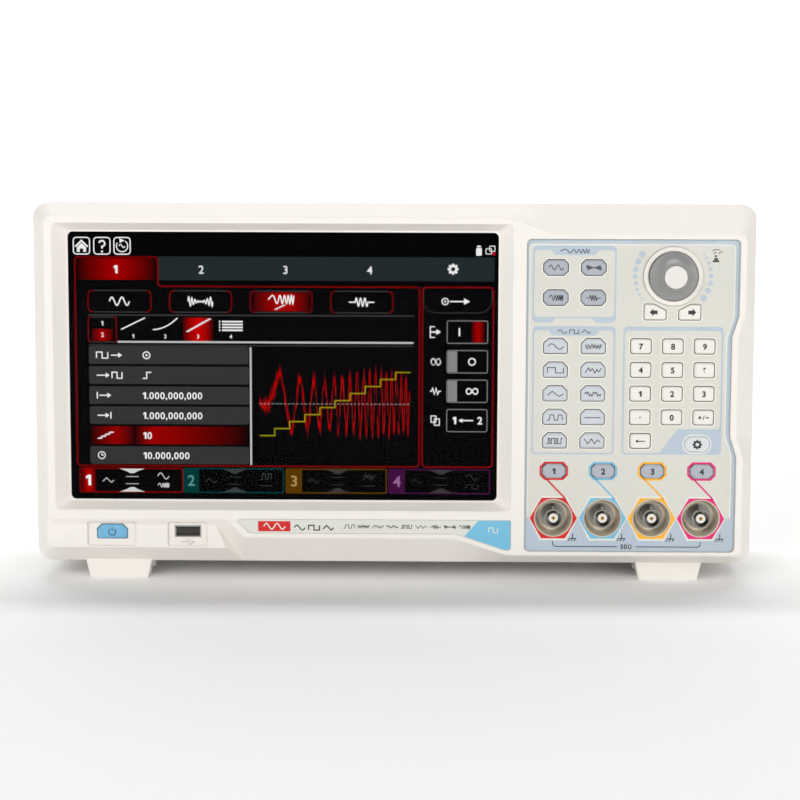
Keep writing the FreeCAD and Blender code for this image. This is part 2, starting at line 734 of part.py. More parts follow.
def knob():
    skirt = rod("knob_blank", "knob_radius", "knob_x", "knob_z", "knob_front", "knob_back")
    flare = doc.addObject("Part::Torus", "knob_flare")
    flare.setExpression("Radius1", formula("flare_ring"))
    flare.setExpression("Radius2", formula("flare_radius"))
    set_along_y(flare, "knob_x", deep("cap_front"), "knob_z")
    outside = cut("knob_face",
                  rod("knob_shoulder", "knob_radius + 4", "knob_x", "knob_z", "knob_front - 1", "-1.4"),
                  [rod("knob_core", "knob_neck", "knob_x", "knob_z", "knob_front - 2", "0")])
    waste = doc.addObject("Part::Common", "knob_waste")
    waste.Base = flare
    waste.Tool = outside
    tools = [waste,
             rod("knob_bore", "spindle_radius + run_gap", "knob_x", "knob_z", "knob_front - 1",
                 "knob_back + 1"),
             rod("cap_pocket", "cap_radius + 0.2", "knob_x", "knob_z", "knob_front - 1", "cap_back + 0.3")]
    piece(cut("knob_turned", skirt, tools), "knob")
    cap = rod("cap_disc", "cap_radius", "knob_x", "knob_z", "cap_front", "cap_back")
    spindle = rod("cap_spindle", "spindle_radius", "knob_x", "knob_z", "cap_back", "spindle_back")
    piece(join("cap_and_spindle", [cap, spindle]), "push_spindle")


def encoder_body():
    base = block("encoder_base", ("knob_x - 7", "knob_x + 7"), between("flange_deep", "board_deep"),
                 ("knob_z - 7.5", "knob_z + 7.5"))
    bushing = rod("encoder_bushing", "4.4", "knob_x", "knob_z", "knob_back + 1.2", "flange_deep + 1")
    bore = rod("encoder_bore", "spindle_radius + run_gap", "knob_x", "knob_z", "0", "board_deep + 1")
    piece(cut("encoder_cut", join("encoder_form", [base, bushing]), [bore]), "encoder_body")


def usb_port():
    half_w = "usb_wide / 2"
    half_t = "usb_tall / 2"
    shell = block("usb_block", (f"usb_x - {half_w}", f"usb_x + {half_w}"),
                  between("well_floor + 0.1", "20"),
                  (f"usb_z - {half_t}", f"usb_z + {half_t}"))
    inside = block("usb_inside", (f"usb_x - {half_w} + 0.4", f"usb_x + {half_w} - 0.4"), between("0", "17"),
                   (f"usb_z - {half_t} + 0.4", f"usb_z + {half_t} - 0.4"))
    tongue = block("usb_tongue", ("usb_x - 5.5", "usb_x + 5.5"), between("well_floor + 1", "18"),
                   ("usb_z + 0.1", "usb_z + 1.9"))
    piece(join("usb_parts", [cut("usb_shell", shell, [inside]), tongue]), "usb_port")


# --- BNC jacks --------------------------------------------------------------------------------

def jack_places():
    """Axis, and the depths of the barrel's end and the mounting face; +1 points back into the case."""
    places = []
    for index in range(4):
        places.append((f"jack_first + {index} * jack_pitch", "jack_z", "0", "cup_floor", 1))
    for index in range(4):
        places.append((f"rear_jack_first + {index} * rear_jack_pitch", "rear_jack_z", "tail_deep",
                       "case_deep", -1))
    return places


def span(name, radius, x, z, start, end):
    """A rod between two depths given in either order."""
    if size(start) < size(end):
        return rod(name, radius, x, z, start, end)
    return rod(name, radius, x, z, end, start)


def bnc_jacks():
    bodies = []
    insulators = []
    contacts = []
    for number, (x, z, tip, seat, way) in enumerate(jack_places()):
        tag = f"jack_{number}"
        landing = span(tag + "_landing", "barrel_radius", x, z, tip, f"({tip}) + {way} * landing")
        barrel = span(tag + "_barrel", "relief_radius", x, z, f"({tip}) + {way}", f"{seat}")
        flange = span(tag + "_flange", "6.3", x, z, f"{seat} - {way} * 1.2", seat)
        stem = span(tag + "_stem", "thread_radius", x, z, f"{seat} - {way} * 0.5", f"{seat} + {way} * 9")
        lug = doc.addObject("Part::Cylinder", tag + "_lug")
        lug.setExpression("Radius", formula("lug_radius"))
        lug.setExpression("Height", formula("2 * lug_half"))
        lug.setExpression("Placement.Base.x", formula(x))
        lug.setExpression("Placement.Base.y", formula(deep(f"({tip}) + {way} * lug_back")))
        lug.setExpression("Placement.Base.z", formula(f"{z} - lug_half"))
        bore = span(tag + "_bore", "barrel_bore", x, z, f"({tip}) - {way}", f"{seat} - {way} * 0.5")
        core = span(tag + "_core", "insulator_radius", x, z, f"{seat} - {way} * 2", f"{seat} + {way} * 10")
        form = join(tag + "_form", [landing, barrel, flange, stem, lug])
        bodies.append(cut(tag + "_body", form, [bore, core]))
        dielectric = span(tag + "_dielectric", "insulator_radius", x, z,
                          f"({tip}) + {way} * 1.2", f"{seat} + {way} * 9.4")
        centre = span(tag + "_centre", "contact_radius", x, z, f"({tip}) - {way}", f"{seat} + {way} * 11")
        insulators.append(cut(tag + "_insulator", dielectric, [centre]))
        pin = span(tag + "_pin", "contact_radius", x, z, f"({tip}) + {way} * 1.5", f"{seat} + {way} * 10.6")
        socket = span(tag + "_socket", "0.5", x, z, f"({tip}) - {way}", f"({tip}) + {way} * 6")
        contacts.append(cut(tag + "_contact", pin, [socket]))
    piece(group("bnc_body_set", bodies), "bnc_bodies")
    piece(group("bnc_insulator_set", insulators), "bnc_insulators")
    piece(group("bnc_contact_set", contacts), "bnc_contacts")


def bnc_cups():
    """The turned cups that sink the four outputs into the panel."""
    cups = []
    for index in range(4):
        x = f"jack_first + {index} * jack_pitch"
        blank = rod(f"cup_blank_{index}", "cup_radius", x, "jack_z", "cup_front", "cup_back")
        hollow = cone(f"cup_hollow_{index}", "cup_mouth", "cup_throat", x, "jack_z", "cup_front",
                      "cup_floor")
        hole = rod(f"cup_stem_{index}", "thread_radius", x, "jack_z", "cup_floor - 1", "cup_back + 1")
        cups.append(cut(f"cup_{index}", blank, [hollow, hole]))
    piece(group("cup_set", cups), "bnc_cups")


# --- rear case and what it holds --------------------------------------------------------------

def side_louvres():
    """Tall slots through both sides of the rear case."""
    slots = []
    for side in (-1, 1):
        for index in range(12):
            start = f"38 + {index} * 4.6"
            slots.append(block(f"louvre_{side}_{index}",
                               (f"{side} * case_half - 4", f"{side} * case_half + 4"),
                               between(start, f"{start} + 2.4"), ("70", "140")))
    return slots


def fan_grille():
    """Horizontal slots across the fan's tunnel, broken by an upright rib."""
    slots = []
    half = size("fan_bore - 1.5")
    y_front = size(deep("case_deep - wall - 1"))
    y_back = size(deep("case_deep + 1"))
    for index in range(-5, 6):
        height = 4.7 * index
        reach = math.sqrt(half ** 2 - (abs(height) + 1.4) ** 2)
        for side in (-1, 1):
            near = size("fan_x") + side * 1.5
            far = size("fan_x") + side * reach
            z = size("fan_z") + height
            points = box_points(min(near, far), max(near, far), z - 1.4, z + 1.4, 1.3)
            slots.append(slab(points, y_front, y_back))
    return shaped("fan_grille", Part.makeCompound(slots))


def under_slots():
    """Short air slots through the underside."""
    return [block(f"under_{index}", (f"-90 + {index} * 12", f"-90 + {index} * 12 + 5"),
                  between("50", "86"), ("case_low - 1", "case_low + wall + 1")) for index in range(16)]


def rear_case():
    half = size("case_half")
    outside = slab(box_points(-half, half, size("case_low"), size("case_top"), size("case_round")),
                   size(deep("bezel_deep")), size(deep("case_deep")))
    inset = size("case_half - wall")
    inside = slab(box_points(-inset, inset, size("case_low + wall"), size("case_top - wall"), 4.5),
                  size(deep("bezel_deep - 1")), size(deep("case_deep - wall")))
    shell = cut("case_shell", shaped("case_outside", outside), [shaped("case_inside", inside)])
    extras = []
    for side in (-1, 1):
        extras.append(foot(f"rear_foot_{side}", f"{side} * foot_x", "case_deep - 20", "case_deep - 4"))
        for z in (36, 168):
            pad = box_points(side * 166 - 7, side * 166 + 7, z - 9, z + 9, 3.0)
            extras.append(shaped(f"bumper_{side}_{z}",
                                 slab(pad, size(deep("case_deep - 1")), size(deep("tail_deep")))))
        for end in (-1, 1):
            extras.append(leg_bracket(f"leg_bracket_{side}_{end}", side, end))
    for number, (x, z) in enumerate(screw_places()):
        extras.append(rod(f"tower_{number}", "tower_radius", x, z, "screw_seat - 4", "case_deep"))
    for number, (x, y) in enumerate(((-150, 40), (-150, 90), (60, 40), (60, 90))):
        post = doc.addObject("Part::Cylinder", f"post_{number}")
        post.Radius = 3.5
        post.setExpression("Height", formula("port_z - board_thick - case_low - 1"))
        post.setExpression("Placement.Base.x", str(x))
        post.setExpression("Placement.Base.y", formula(deep(y)))
        post.setExpression("Placement.Base.z", formula("case_low + 1"))
        extras.append(post)
    solid = join("case_solid", [shell] + extras)
    tools = side_louvres() + under_slots() + [fan_grille()] + rear_openings()
    for number, (x, z) in enumerate(screw_places()):
        tools.append(rod(f"tower_bore_{number}", "tower_bore", x, z, "screw_seat", "case_deep + 1"))
        tools.append(rod(f"tower_hole_{number}", "1.7", x, z, "screw_seat - 5", "screw_seat + 1"))
    for side in (-1, 1):
        tools.append(leg_pin(f"bracket_bore_{side}", side, "pin_radius + run_gap", "leg_wide / 2 + 9"))
    piece(cut("case_finished", solid, tools), "rear_case")


def rear_openings():
    """Cut-outs in the rear panel for the inlet, the data ports, the BNCs and the lock slot."""
    through = between("case_deep - wall - 1", "case_deep + 1")
    tools = [
        block("inlet_window", ("inlet_x - 14", "inlet_x + 14"), through,
              ("inlet_z - 11.2", "switch_z + 13.2")),
        block("lan_window", ("lan_x - 8.2", "lan_x + 8.2"), through, ("port_z - 0.2", "port_z + 13.8")),
        block("port_window", ("port_x - 6.2", "port_x + 6.2"), through, ("port_z - 0.2", "port_z + 11.2")),
        block("lock_window", ("-163.5", "-156.5"), through, ("60", "63")),
    ]
    for index in range(4):
        tools.append(rod(f"rear_jack_hole_{index}", "thread_radius + 0.1",
                         f"rear_jack_first + {index} * rear_jack_pitch", "rear_jack_z",
                         "case_deep - wall - 1", "case_deep + 1"))
    return tools


def leg_pin(name, side, radius, half):
    """A rod along X through a tilt leg's hinge."""
    item = doc.addObject("Part::Cylinder", name)
    item.Placement = Placement(Vector(), Rotation(Vector(0, 1, 0), 90))
    item.setExpression("Radius", formula(radius))
    item.setExpression("Height", formula(f"2 * ({half})"))
    item.setExpression("Placement.Base.x", formula(f"{side} * foot_x - ({half})"))
    item.setExpression("Placement.Base.y", formula(deep("leg_deep")))
    item.setExpression("Placement.Base.z", formula("leg_z"))
    return item


def leg_bracket(name, side, end):
    """One of the two ears that a tilt leg's pins turn in."""
    inner = "leg_wide / 2 + 0.5"
    low, high = (inner, "leg_wide / 2 + 4.5") if end > 0 else ("-leg_wide / 2 - 4.5", f"-({inner})")
    return block(name, (f"{side} * foot_x + ({low})", f"{side} * foot_x + ({high})"),
                 between("leg_deep - 3.5", "leg_deep + 3.5"), ("leg_z - 3.2", "case_low + 1"))


def tilt_leg(side, label):
    """A flat leg with a round hinge end, its stub pins and a thickened tip."""
    knuckle = leg_pin(f"{label}_knuckle", side, "leg_half", "leg_wide / 2")
    pin = leg_pin(f"{label}_pin", side, "pin_radius", "leg_wide / 2 + 4")
    plate = block(f"{label}_plate", (f"{side} * foot_x - leg_wide / 2", f"{side} * foot_x + leg_wide / 2"),
                  between("leg_deep", "leg_deep + leg_long"),
                  ("leg_z - leg_half", "leg_z + leg_half - 0.8"))
    piece(join(f"{label}_form", [knuckle, pin, plate]), label)


def main_board():
    """The main board, its shield cans and a finned heat sink, each a solid of its own."""
    parts = [block("main_sheet", ("-165", "104"), between("30", "98"), ("port_z - board_thick", "port_z"))]
    shields = ((-40, 36, 34, 24), (2, 36, 34, 24), (-150, 68, 30, 22), (-60, 70, 40, 14))
    for number, (x, y, wide, long) in enumerate(shields):
        parts.append(block(f"shield_{number}", (x, x + wide), (deep(y), deep(y + long)),
                           ("port_z", "port_z + 6")))
    sink = [block("sink_base", ("-121", "-60"), between("36", "64"), ("port_z", "port_z + 5"))]
    for index in range(10):
        sink.append(block(f"fin_{index}", (f"-119.6 + {index} * 6.2", f"-119.6 + {index} * 6.2 + 2"),
                          between("36.5", "63.5"), ("port_z + 4", "port_z + 19")))
    parts.append(join("heat_sink", sink))
    piece(group("main_parts", parts), "main_board")


def power_supply():
    case = block("supply_case", ("112", "168"), between("30", "78"), ("case_low + wall", "112"))
    slots = [block(f"supply_slot_{index}", (f"118 + {index} * 6", f"118 + {index} * 6 + 3"),
                   between("29", "32"), ("40", "90")) for index in range(8)]
    piece(cut("supply_cut", case, slots), "power_supply")


def fan():
    half = "fan_half"
    frame = block("fan_block", (f"fan_x - {half}", f"fan_x + {half}"),
                  between("fan_deep", "case_deep - wall"),
                  (f"fan_z - {half}", f"fan_z + {half}"))
    tools = [rod("fan_tunnel", "fan_bore", "fan_x", "fan_z", "fan_deep - 1", "case_deep")]
    for side in (-1, 1):
        for up in (-1, 1):
            tools.append(rod(f"fan_corner_{side}_{up}", "2.2", f"fan_x + {side} * 25", f"fan_z + {up} * 25",
                             "fan_deep - 1", "case_deep"))
    motor = rod("fan_motor", "13", "fan_x", "fan_z", "case_deep - wall - 2", "case_deep - wall")
    pin = rod("fan_pin", "1.5", "fan_x", "fan_z", "fan_deep + 4", "case_deep - wall - 1")
    struts = [block("fan_strut_flat", ("fan_x - 29", "fan_x + 29"),
                    between("case_deep - wall - 2", "case_deep - wall"),
                    ("fan_z - 1.5", "fan_z + 1.5")),
              block("fan_strut_tall", ("fan_x - 1.5", "fan_x + 1.5"),
                    between("case_deep - wall - 2", "case_deep - wall"),
                    ("fan_z - 29", "fan_z + 29"))]
    piece(join("fan_frame_parts", [cut("fan_tube", frame, tools), motor, pin] + struts), "fan_frame")
    fan_rotor()


def fan_rotor():
    """Hub and seven pitched blades that turn on the frame's pin."""
    hub = rod("rotor_hub", "fan_hub", "fan_x", "fan_z", "fan_deep + 1.5", "case_deep - wall - 2.6")
    blades = []
    count = 7
    for index in range(count):
        turn = 360.0 * index / count
        blade = doc.addObject("Part::Box", f"blade_{index}")
        blade.setExpression("Length", formula("fan_tip - fan_hub + 1"))
        blade.Width = 12
        blade.Height = 1.2
        middle = Vector(size("fan_x"), size(deep("fan_deep + 7")), size("fan_z"))
        pitch = Placement(Vector(size("fan_hub - 1"), 0, 0), Rotation(Vector(1, 0, 0), 38))
        centred = Placement(Vector(0, -6, -0.6), Rotation())
        spin = Placement(middle, Rotation(Vector(0, 1, 0), turn))
        blade.Placement = spin * pitch * centred
        blades.append(blade)
    wheel = join("rotor_parts", [hub] + blades)
    trim = rod("rotor_limit", "fan_tip", "fan_x", "fan_z", "fan_deep + 1.5", "case_deep - wall - 2.6")
    limited = doc.addObject("Part::Common", "rotor_trimmed")
    limited.Base = wheel
    limited.Tool = trim
    bore = rod("rotor_bore", "1.5 + run_gap", "fan_x", "fan_z", "fan_deep + 3.6", "case_deep")
    piece(cut("rotor_cut", limited, [bore]), "fan_rotor")


def power_inlet():
    """The mains socket with its three pins and the frame of the rocker above it."""
    flange = block("inlet_flange", ("inlet_x - 17", "inlet_x + 17"),
                   between("case_deep", "case_deep + 2.4"),
                   ("inlet_z - 14", "switch_z + 16"))
    barrel = block("inlet_barrel", ("inlet_x - 13.8", "inlet_x + 13.8"),
                   between("case_deep - 20", "case_deep"),
                   ("inlet_z - 11", "switch_z + 13"))
    socket = block("inlet_socket", ("inlet_x - inlet_wide / 2", "inlet_x + inlet_wide / 2"),
                   between("case_deep - 15", "case_deep + 3"),
                   ("inlet_z - inlet_tall / 2", "inlet_z + inlet_tall / 2"))
    window = block("switch_window", ("inlet_x - 7.3", "inlet_x + 7.3"),
                   between("case_deep - 12", "case_deep + 3"),
                   ("switch_z - 10.4", "switch_z + 10.4"))
    bore = doc.addObject("Part::Cylinder", "switch_bore")
    place_on_rocker_axis(bore, "1.2 + run_gap", "8.4")
    pins = [block(f"inlet_pin_{number}", (f"inlet_x + ({x}) - 1", f"inlet_x + ({x}) + 1"),
                  between("case_deep - 16", "case_deep - 2"),
                  (f"inlet_z + ({z}) - 2", f"inlet_z + ({z}) + 2"))
            for number, (x, z) in enumerate(((-7, -2), (7, -2), (0, 3.4)))]
    form = cut("inlet_form", join("inlet_shape", [flange, barrel]), [socket, window, bore])
    piece(join("inlet_parts", [form] + pins), "power_inlet")


def place_on_rocker_axis(item, radius, half):
    item.Placement = Placement(Vector(), Rotation(Vector(0, 1, 0), 90))
    item.setExpression("Radius", formula(radius))
    item.setExpression("Height", formula(f"2 * ({half})"))
    item.setExpression("Placement.Base.x", formula(f"inlet_x - ({half})"))
    item.setExpression("Placement.Base.y", formula(deep("switch_pivot")))
    item.setExpression("Placement.Base.z", formula("switch_z"))


def power_rocker():
    """A shallow V-shaped rocker on two stub pins, resting tipped one way."""
    half = 9.0
    y_pivot = size(deep("switch_pivot"))
    z_pivot = size("switch_z")
    profile = [(-5.0, -6.0), (3.2, -half), (5.0, -half), (3.6, 0.0), (5.0, half), (3.2, half), (-5.0, 6.0)]
    x_left = size("inlet_x - 6.9")
    corners = [Vector(x_left, y_pivot + y, z_pivot + z) for y, z in profile]
    paddle = Part.Face(Part.makePolygon(corners + corners[:1])).extrude(Vector(13.8, 0, 0))
    pin = doc.addObject("Part::Cylinder", "rocker_pin")
    place_on_rocker_axis(pin, "1.2", "8.2")
    whole = join("rocker_form", [shaped("rocker_paddle", paddle), pin])
    whole.Placement = Placement(Vector(), Rotation(Vector(1, 0, 0), -7), Vector(0, y_pivot, z_pivot))
    piece(whole, "power_rocker")


def rear_ports():
    """Network jack and USB device jack at the main board's rear edge."""
    lan = block("lan_block", ("lan_x - 8", "lan_x + 8"), between("case_deep - 16", "case_deep + 0.6"),
                ("port_z", "port_z + 13.5"))
    lan_socket = block("lan_socket", ("lan_x - 5.9", "lan_x + 5.9"),
                       between("case_deep - 12", "case_deep + 1"),
                       ("port_z + 2.4", "port_z + 9.6"))
    lan_key = block("lan_key", ("lan_x - 3", "lan_x + 3"), between("case_deep - 12", "case_deep + 1"),
                    ("port_z + 9", "port_z + 11.6"))
    port = block("port_block", ("port_x - 6", "port_x + 6"), between("case_deep - 14", "case_deep + 0.6"),
                 ("port_z", "port_z + 11"))
    port_socket = block("port_socket", ("port_x - 4.2", "port_x + 4.2"),
                        between("case_deep - 10", "case_deep + 1"),
                        ("port_z + 1.6", "port_z + 9.4"))
    tongue = block("port_tongue", ("port_x - 2.8", "port_x + 2.8"),
                   between("case_deep - 11", "case_deep - 1"),
                   ("port_z + 3.9", "port_z + 7.1"))
    piece(group("port_set", [cut("lan_cut", lan, [lan_socket, lan_key]),
                             join("port_parts", [cut("port_cut", port, [port_socket]), tongue])]),
                             "rear_ports")


def case_screws():
    screws = []
    for number, (x, z) in enumerate(screw_places()):
        head = rod(f"screw_head_{number}", "2.8", x, z, "screw_seat", "screw_seat + 2.2")
        shank = rod(f"screw_shank_{number}", "1.45", x, z, "25", "screw_seat + 1")
        drive = rod(f"screw_drive_{number}", "1.1", x, z, "screw_seat + 1.2", "screw_seat + 3")
        screws.append(cut(f"screw_{number}", join(f"screw_form_{number}", [head, shank]), [drive]))
    piece(group("screw_set", screws), "case_screws")


# --- the whole instrument ---------------------------------------------------------------------

def check(item):
    shape = item.Shape
    if shape.isNull() or not shape.isValid() or not shape.Solids:
        raise RuntimeError(f"{item.Label} has no valid solid")


def write_parts():
    doc.recompute()
    for item in doc.Objects:
        bad = {"Invalid", "Error"} & set(item.State)
        if bad:
            raise RuntimeError(f"{item.Label} is {bad}")
    os.makedirs("parts", exist_ok=True)
    for item in nodes:
        check(item)
        item.Shape.exportStep(f"parts/{item.Label}.step")
    print(len(nodes), "sub-parts written")


fill_sheet()
power_button()
panel_keys()
front_bezel()
panel_overlay()
display()
keypad_mat()
control_board()
knob()
encoder_body()
usb_port()
bnc_jacks()
bnc_cups()
rear_case()
main_board()
power_supply()
fan()
power_inlet()
power_rocker()
rear_ports()
case_screws()
tilt_leg(-1, "tilt_leg_left")
tilt_leg(1, "tilt_leg_right")
write_parts()
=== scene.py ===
import json
import math
import random

import bmesh
import bpy
from mathutils import Matrix, Vector, geometry

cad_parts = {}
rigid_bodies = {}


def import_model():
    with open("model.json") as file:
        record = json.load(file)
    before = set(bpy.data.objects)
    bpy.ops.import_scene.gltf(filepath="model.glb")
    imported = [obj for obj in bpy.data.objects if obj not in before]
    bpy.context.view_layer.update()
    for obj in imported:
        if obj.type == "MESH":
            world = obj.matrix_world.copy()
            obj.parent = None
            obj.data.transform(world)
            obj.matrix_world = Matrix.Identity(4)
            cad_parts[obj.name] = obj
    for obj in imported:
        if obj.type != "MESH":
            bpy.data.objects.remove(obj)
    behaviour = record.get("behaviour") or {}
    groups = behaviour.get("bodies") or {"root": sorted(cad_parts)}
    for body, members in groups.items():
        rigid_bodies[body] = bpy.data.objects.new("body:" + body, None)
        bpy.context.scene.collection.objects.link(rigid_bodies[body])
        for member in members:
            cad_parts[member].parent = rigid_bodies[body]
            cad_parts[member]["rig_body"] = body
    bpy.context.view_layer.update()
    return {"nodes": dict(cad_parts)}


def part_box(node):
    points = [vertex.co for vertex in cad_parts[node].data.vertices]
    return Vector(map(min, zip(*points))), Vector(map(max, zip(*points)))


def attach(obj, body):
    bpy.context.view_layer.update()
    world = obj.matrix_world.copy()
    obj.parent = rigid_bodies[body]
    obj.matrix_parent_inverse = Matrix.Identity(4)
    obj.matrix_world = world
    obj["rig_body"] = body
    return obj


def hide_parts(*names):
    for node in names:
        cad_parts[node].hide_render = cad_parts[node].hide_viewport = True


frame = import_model()
NODES = frame["nodes"]
MM = 0.001
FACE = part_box("front_bezel")[0].y          # the bezel's face
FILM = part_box("panel_overlay")[0].y        # front of the control panel's overlay
INK = 0.015 * MM                           # step between one printed layer and the next
GLASS_LOW, GLASS_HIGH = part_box("display_glass")


# --- node materials ---------------------------------------------------------------------------

def srgb(r, g, b):
    """Linear colour from the usual 0 to 255 values."""
    out = []
    for value in (r, g, b):
        c = value / 255
        out.append(c / 12.92 if c <= 0.04045 else ((c + 0.055) / 1.055) ** 2.4)
    return (*out, 1.0)


def shade(colour, factor):
    return (*(min(1.0, c * factor) for c in colour[:3]), 1.0)


class Graph:
    """Short spellings for building one material's node tree."""

    def __init__(self, name):
        self.material = bpy.data.materials.new(name)
        self.material.use_nodes = True
        self.tree = self.material.node_tree
        self.shader = self.tree.nodes["Principled BSDF"]
        self.where = self.tree.nodes.new("ShaderNodeTexCoord").outputs["Object"]

    def node(self, kind, **sockets):
        item = self.tree.nodes.new("ShaderNode" + kind)
        for key, value in sockets.items():
            socket = item.inputs[key.replace("_", " ")]
            if isinstance(value, bpy.types.NodeSocket):
                self.tree.links.new(value, socket)
            else:
                socket.default_value = value
        return item

    def link(self, output, socket):
        self.tree.links.new(output, self.shader.inputs[socket])

    def noise(self, scale, detail=3.0, vector=None, rough=0.5):
        return self.node("TexNoise", Vector=vector or self.where, Scale=scale, Detail=detail,
                         Roughness=rough).outputs["Fac"]

    def ramp(self, fac, stops):
        item = self.node("ValToRGB", Fac=fac)
        elements = item.color_ramp.elements
        while len(elements) < len(stops):
            elements.new(0.5)
        for element, (position, colour) in zip(elements, stops):
            element.position = position
            element.color = colour
        return item.outputs["Color"]

    def spread(self, fac, low, high, start=0.3, end=0.7):
        item = self.node("MapRange", Value=fac)
        for key, value in (("From Min", start), ("From Max", end), ("To Min", low), ("To Max", high)):
            item.inputs[key].default_value = value
        return item.outputs["Result"]

    def math(self, operation, a, b=0.0):
        item = self.tree.nodes.new("ShaderNodeMath")
        item.operation = operation
        for socket, value in zip(item.inputs, (a, b)):
            if isinstance(value, bpy.types.NodeSocket):
                self.tree.links.new(value, socket)
            else:
                socket.default_value = value
        return item.outputs[0]

    def bump(self, height, strength, depth, soft=0.0):
        item = self.node("Bump", Height=height, Strength=strength, Distance=depth)
        if soft > 0:
            edge = self.tree.nodes.new("ShaderNodeBevel")
            edge.samples = 4
            edge.inputs["Radius"].default_value = soft
            self.tree.links.new(edge.outputs[0], item.inputs["Normal"])
        self.link(item.outputs["Normal"], "Normal")


def finish(name, colour, rough, metal=0.0, vary=0.03, patch=18.0, grain=1800.0, bump=0.12, depth=0.00004,
           soft=0.0, worn=0.06, **sockets):
    """A moulded, painted or printed surface: cloudy colour, fine grain, uneven gloss."""
    g = Graph(name)
    cloud = g.noise(patch, 4.0)
    speck = g.noise(grain, 2.0)
    mixed = g.math("ADD", g.math("MULTIPLY", cloud, 0.7), g.math("MULTIPLY", speck, 0.3))
    g.link(g.ramp(mixed, [(0.3, shade(colour, 1 - vary)), (0.7, shade(colour, 1 + vary * 0.6))]),
           "Base Color")
    g.link(g.spread(g.noise(patch * 6, 3.0), max(0.02, rough - worn), min(1.0, rough + worn)), "Roughness")
    g.bump(speck, bump, depth, soft)
    g.shader.inputs["Metallic"].default_value = metal
    for key, value in sockets.items():
        g.shader.inputs[key.replace("_", " ")].default_value = value
    return g.material


def turned(name, colour, rough, centres, height, metal=1.0):
    """Metal with fine rings round each of several axes along Y, evenly spaced on one line."""
    g = Graph(name)
    split = g.node("SeparateXYZ", Vector=g.where)
    first, pitch = centres
    along = g.math("ADD", split.outputs["X"], pitch * 40.5 - first)
    along = g.math("SUBTRACT", g.math("MODULO", along, pitch), pitch / 2)
    up = g.math("SUBTRACT", split.outputs["Z"], height)
    radius = g.math("SQRT", g.math("ADD", g.math("MULTIPLY", along, along), g.math("MULTIPLY", up, up)))
    ring = g.tree.nodes.new("ShaderNodeTexNoise")
    ring.noise_dimensions = "1D"
    ring.inputs["Scale"].default_value = 5200.0
    ring.inputs["Detail"].default_value = 3.0
    g.tree.links.new(radius, ring.inputs["W"])
    lines = ring.outputs["Fac"]
    g.link(g.ramp(lines, [(0.3, shade(colour, 0.86)), (0.7, shade(colour, 1.08))]), "Base Color")
    g.link(g.spread(lines, rough - 0.07, rough + 0.09), "Roughness")
    g.bump(lines, 0.25, 0.00003, 0.0002)
    g.shader.inputs["Metallic"].default_value = metal
    return g.material


def glow(name, colour, strength=1.0, vary=0.05):
    """A lit part of the display: its light varies a little from cell to cell."""
    g = Graph(name)
    cells = g.noise(900.0, 1.0)
    g.link(g.ramp(cells, [(0.3, shade(colour, 1 - vary)), (0.7, colour)]), "Emission Color")
    g.link(g.spread(g.noise(300.0), 0.5, 0.6), "Roughness")
    g.bump(cells, 0.05, 0.00001)
    g.shader.inputs["Base Color"].default_value = (0.0, 0.0, 0.0, 1.0)
    g.shader.inputs["Specular IOR Level"].default_value = 0.0
    g.shader.inputs["Emission Strength"].default_value = strength
    return g.material


def fade(name, left, right, stops):
    """A lit bar whose colour runs from left to right between two X positions in metres."""
    g = Graph(name)
    split = g.node("SeparateXYZ", Vector=g.where)
    item = g.node("MapRange", Value=split.outputs["X"])
    item.inputs["From Min"].default_value = left
    item.inputs["From Max"].default_value = right
    jitter = g.math("MULTIPLY", g.math("SUBTRACT", g.noise(900.0, 1.0), 0.5), 0.02)
    g.link(g.ramp(g.math("ADD", item.outputs["Result"], jitter), stops), "Emission Color")
    g.bump(g.noise(900.0, 1.0), 0.05, 0.00001)
    g.shader.inputs["Base Color"].default_value = (0.0, 0.0, 0.0, 1.0)
    g.shader.inputs["Specular IOR Level"].default_value = 0.0
    g.shader.inputs["Emission Strength"].default_value = 1.0
    return g.material


def ink(name, colour, rough, vary):
    """Printed ink or film: finer grain than a moulding, and flatter."""
    return finish(name, colour, rough, vary=vary, grain=3000.0, bump=0.05)


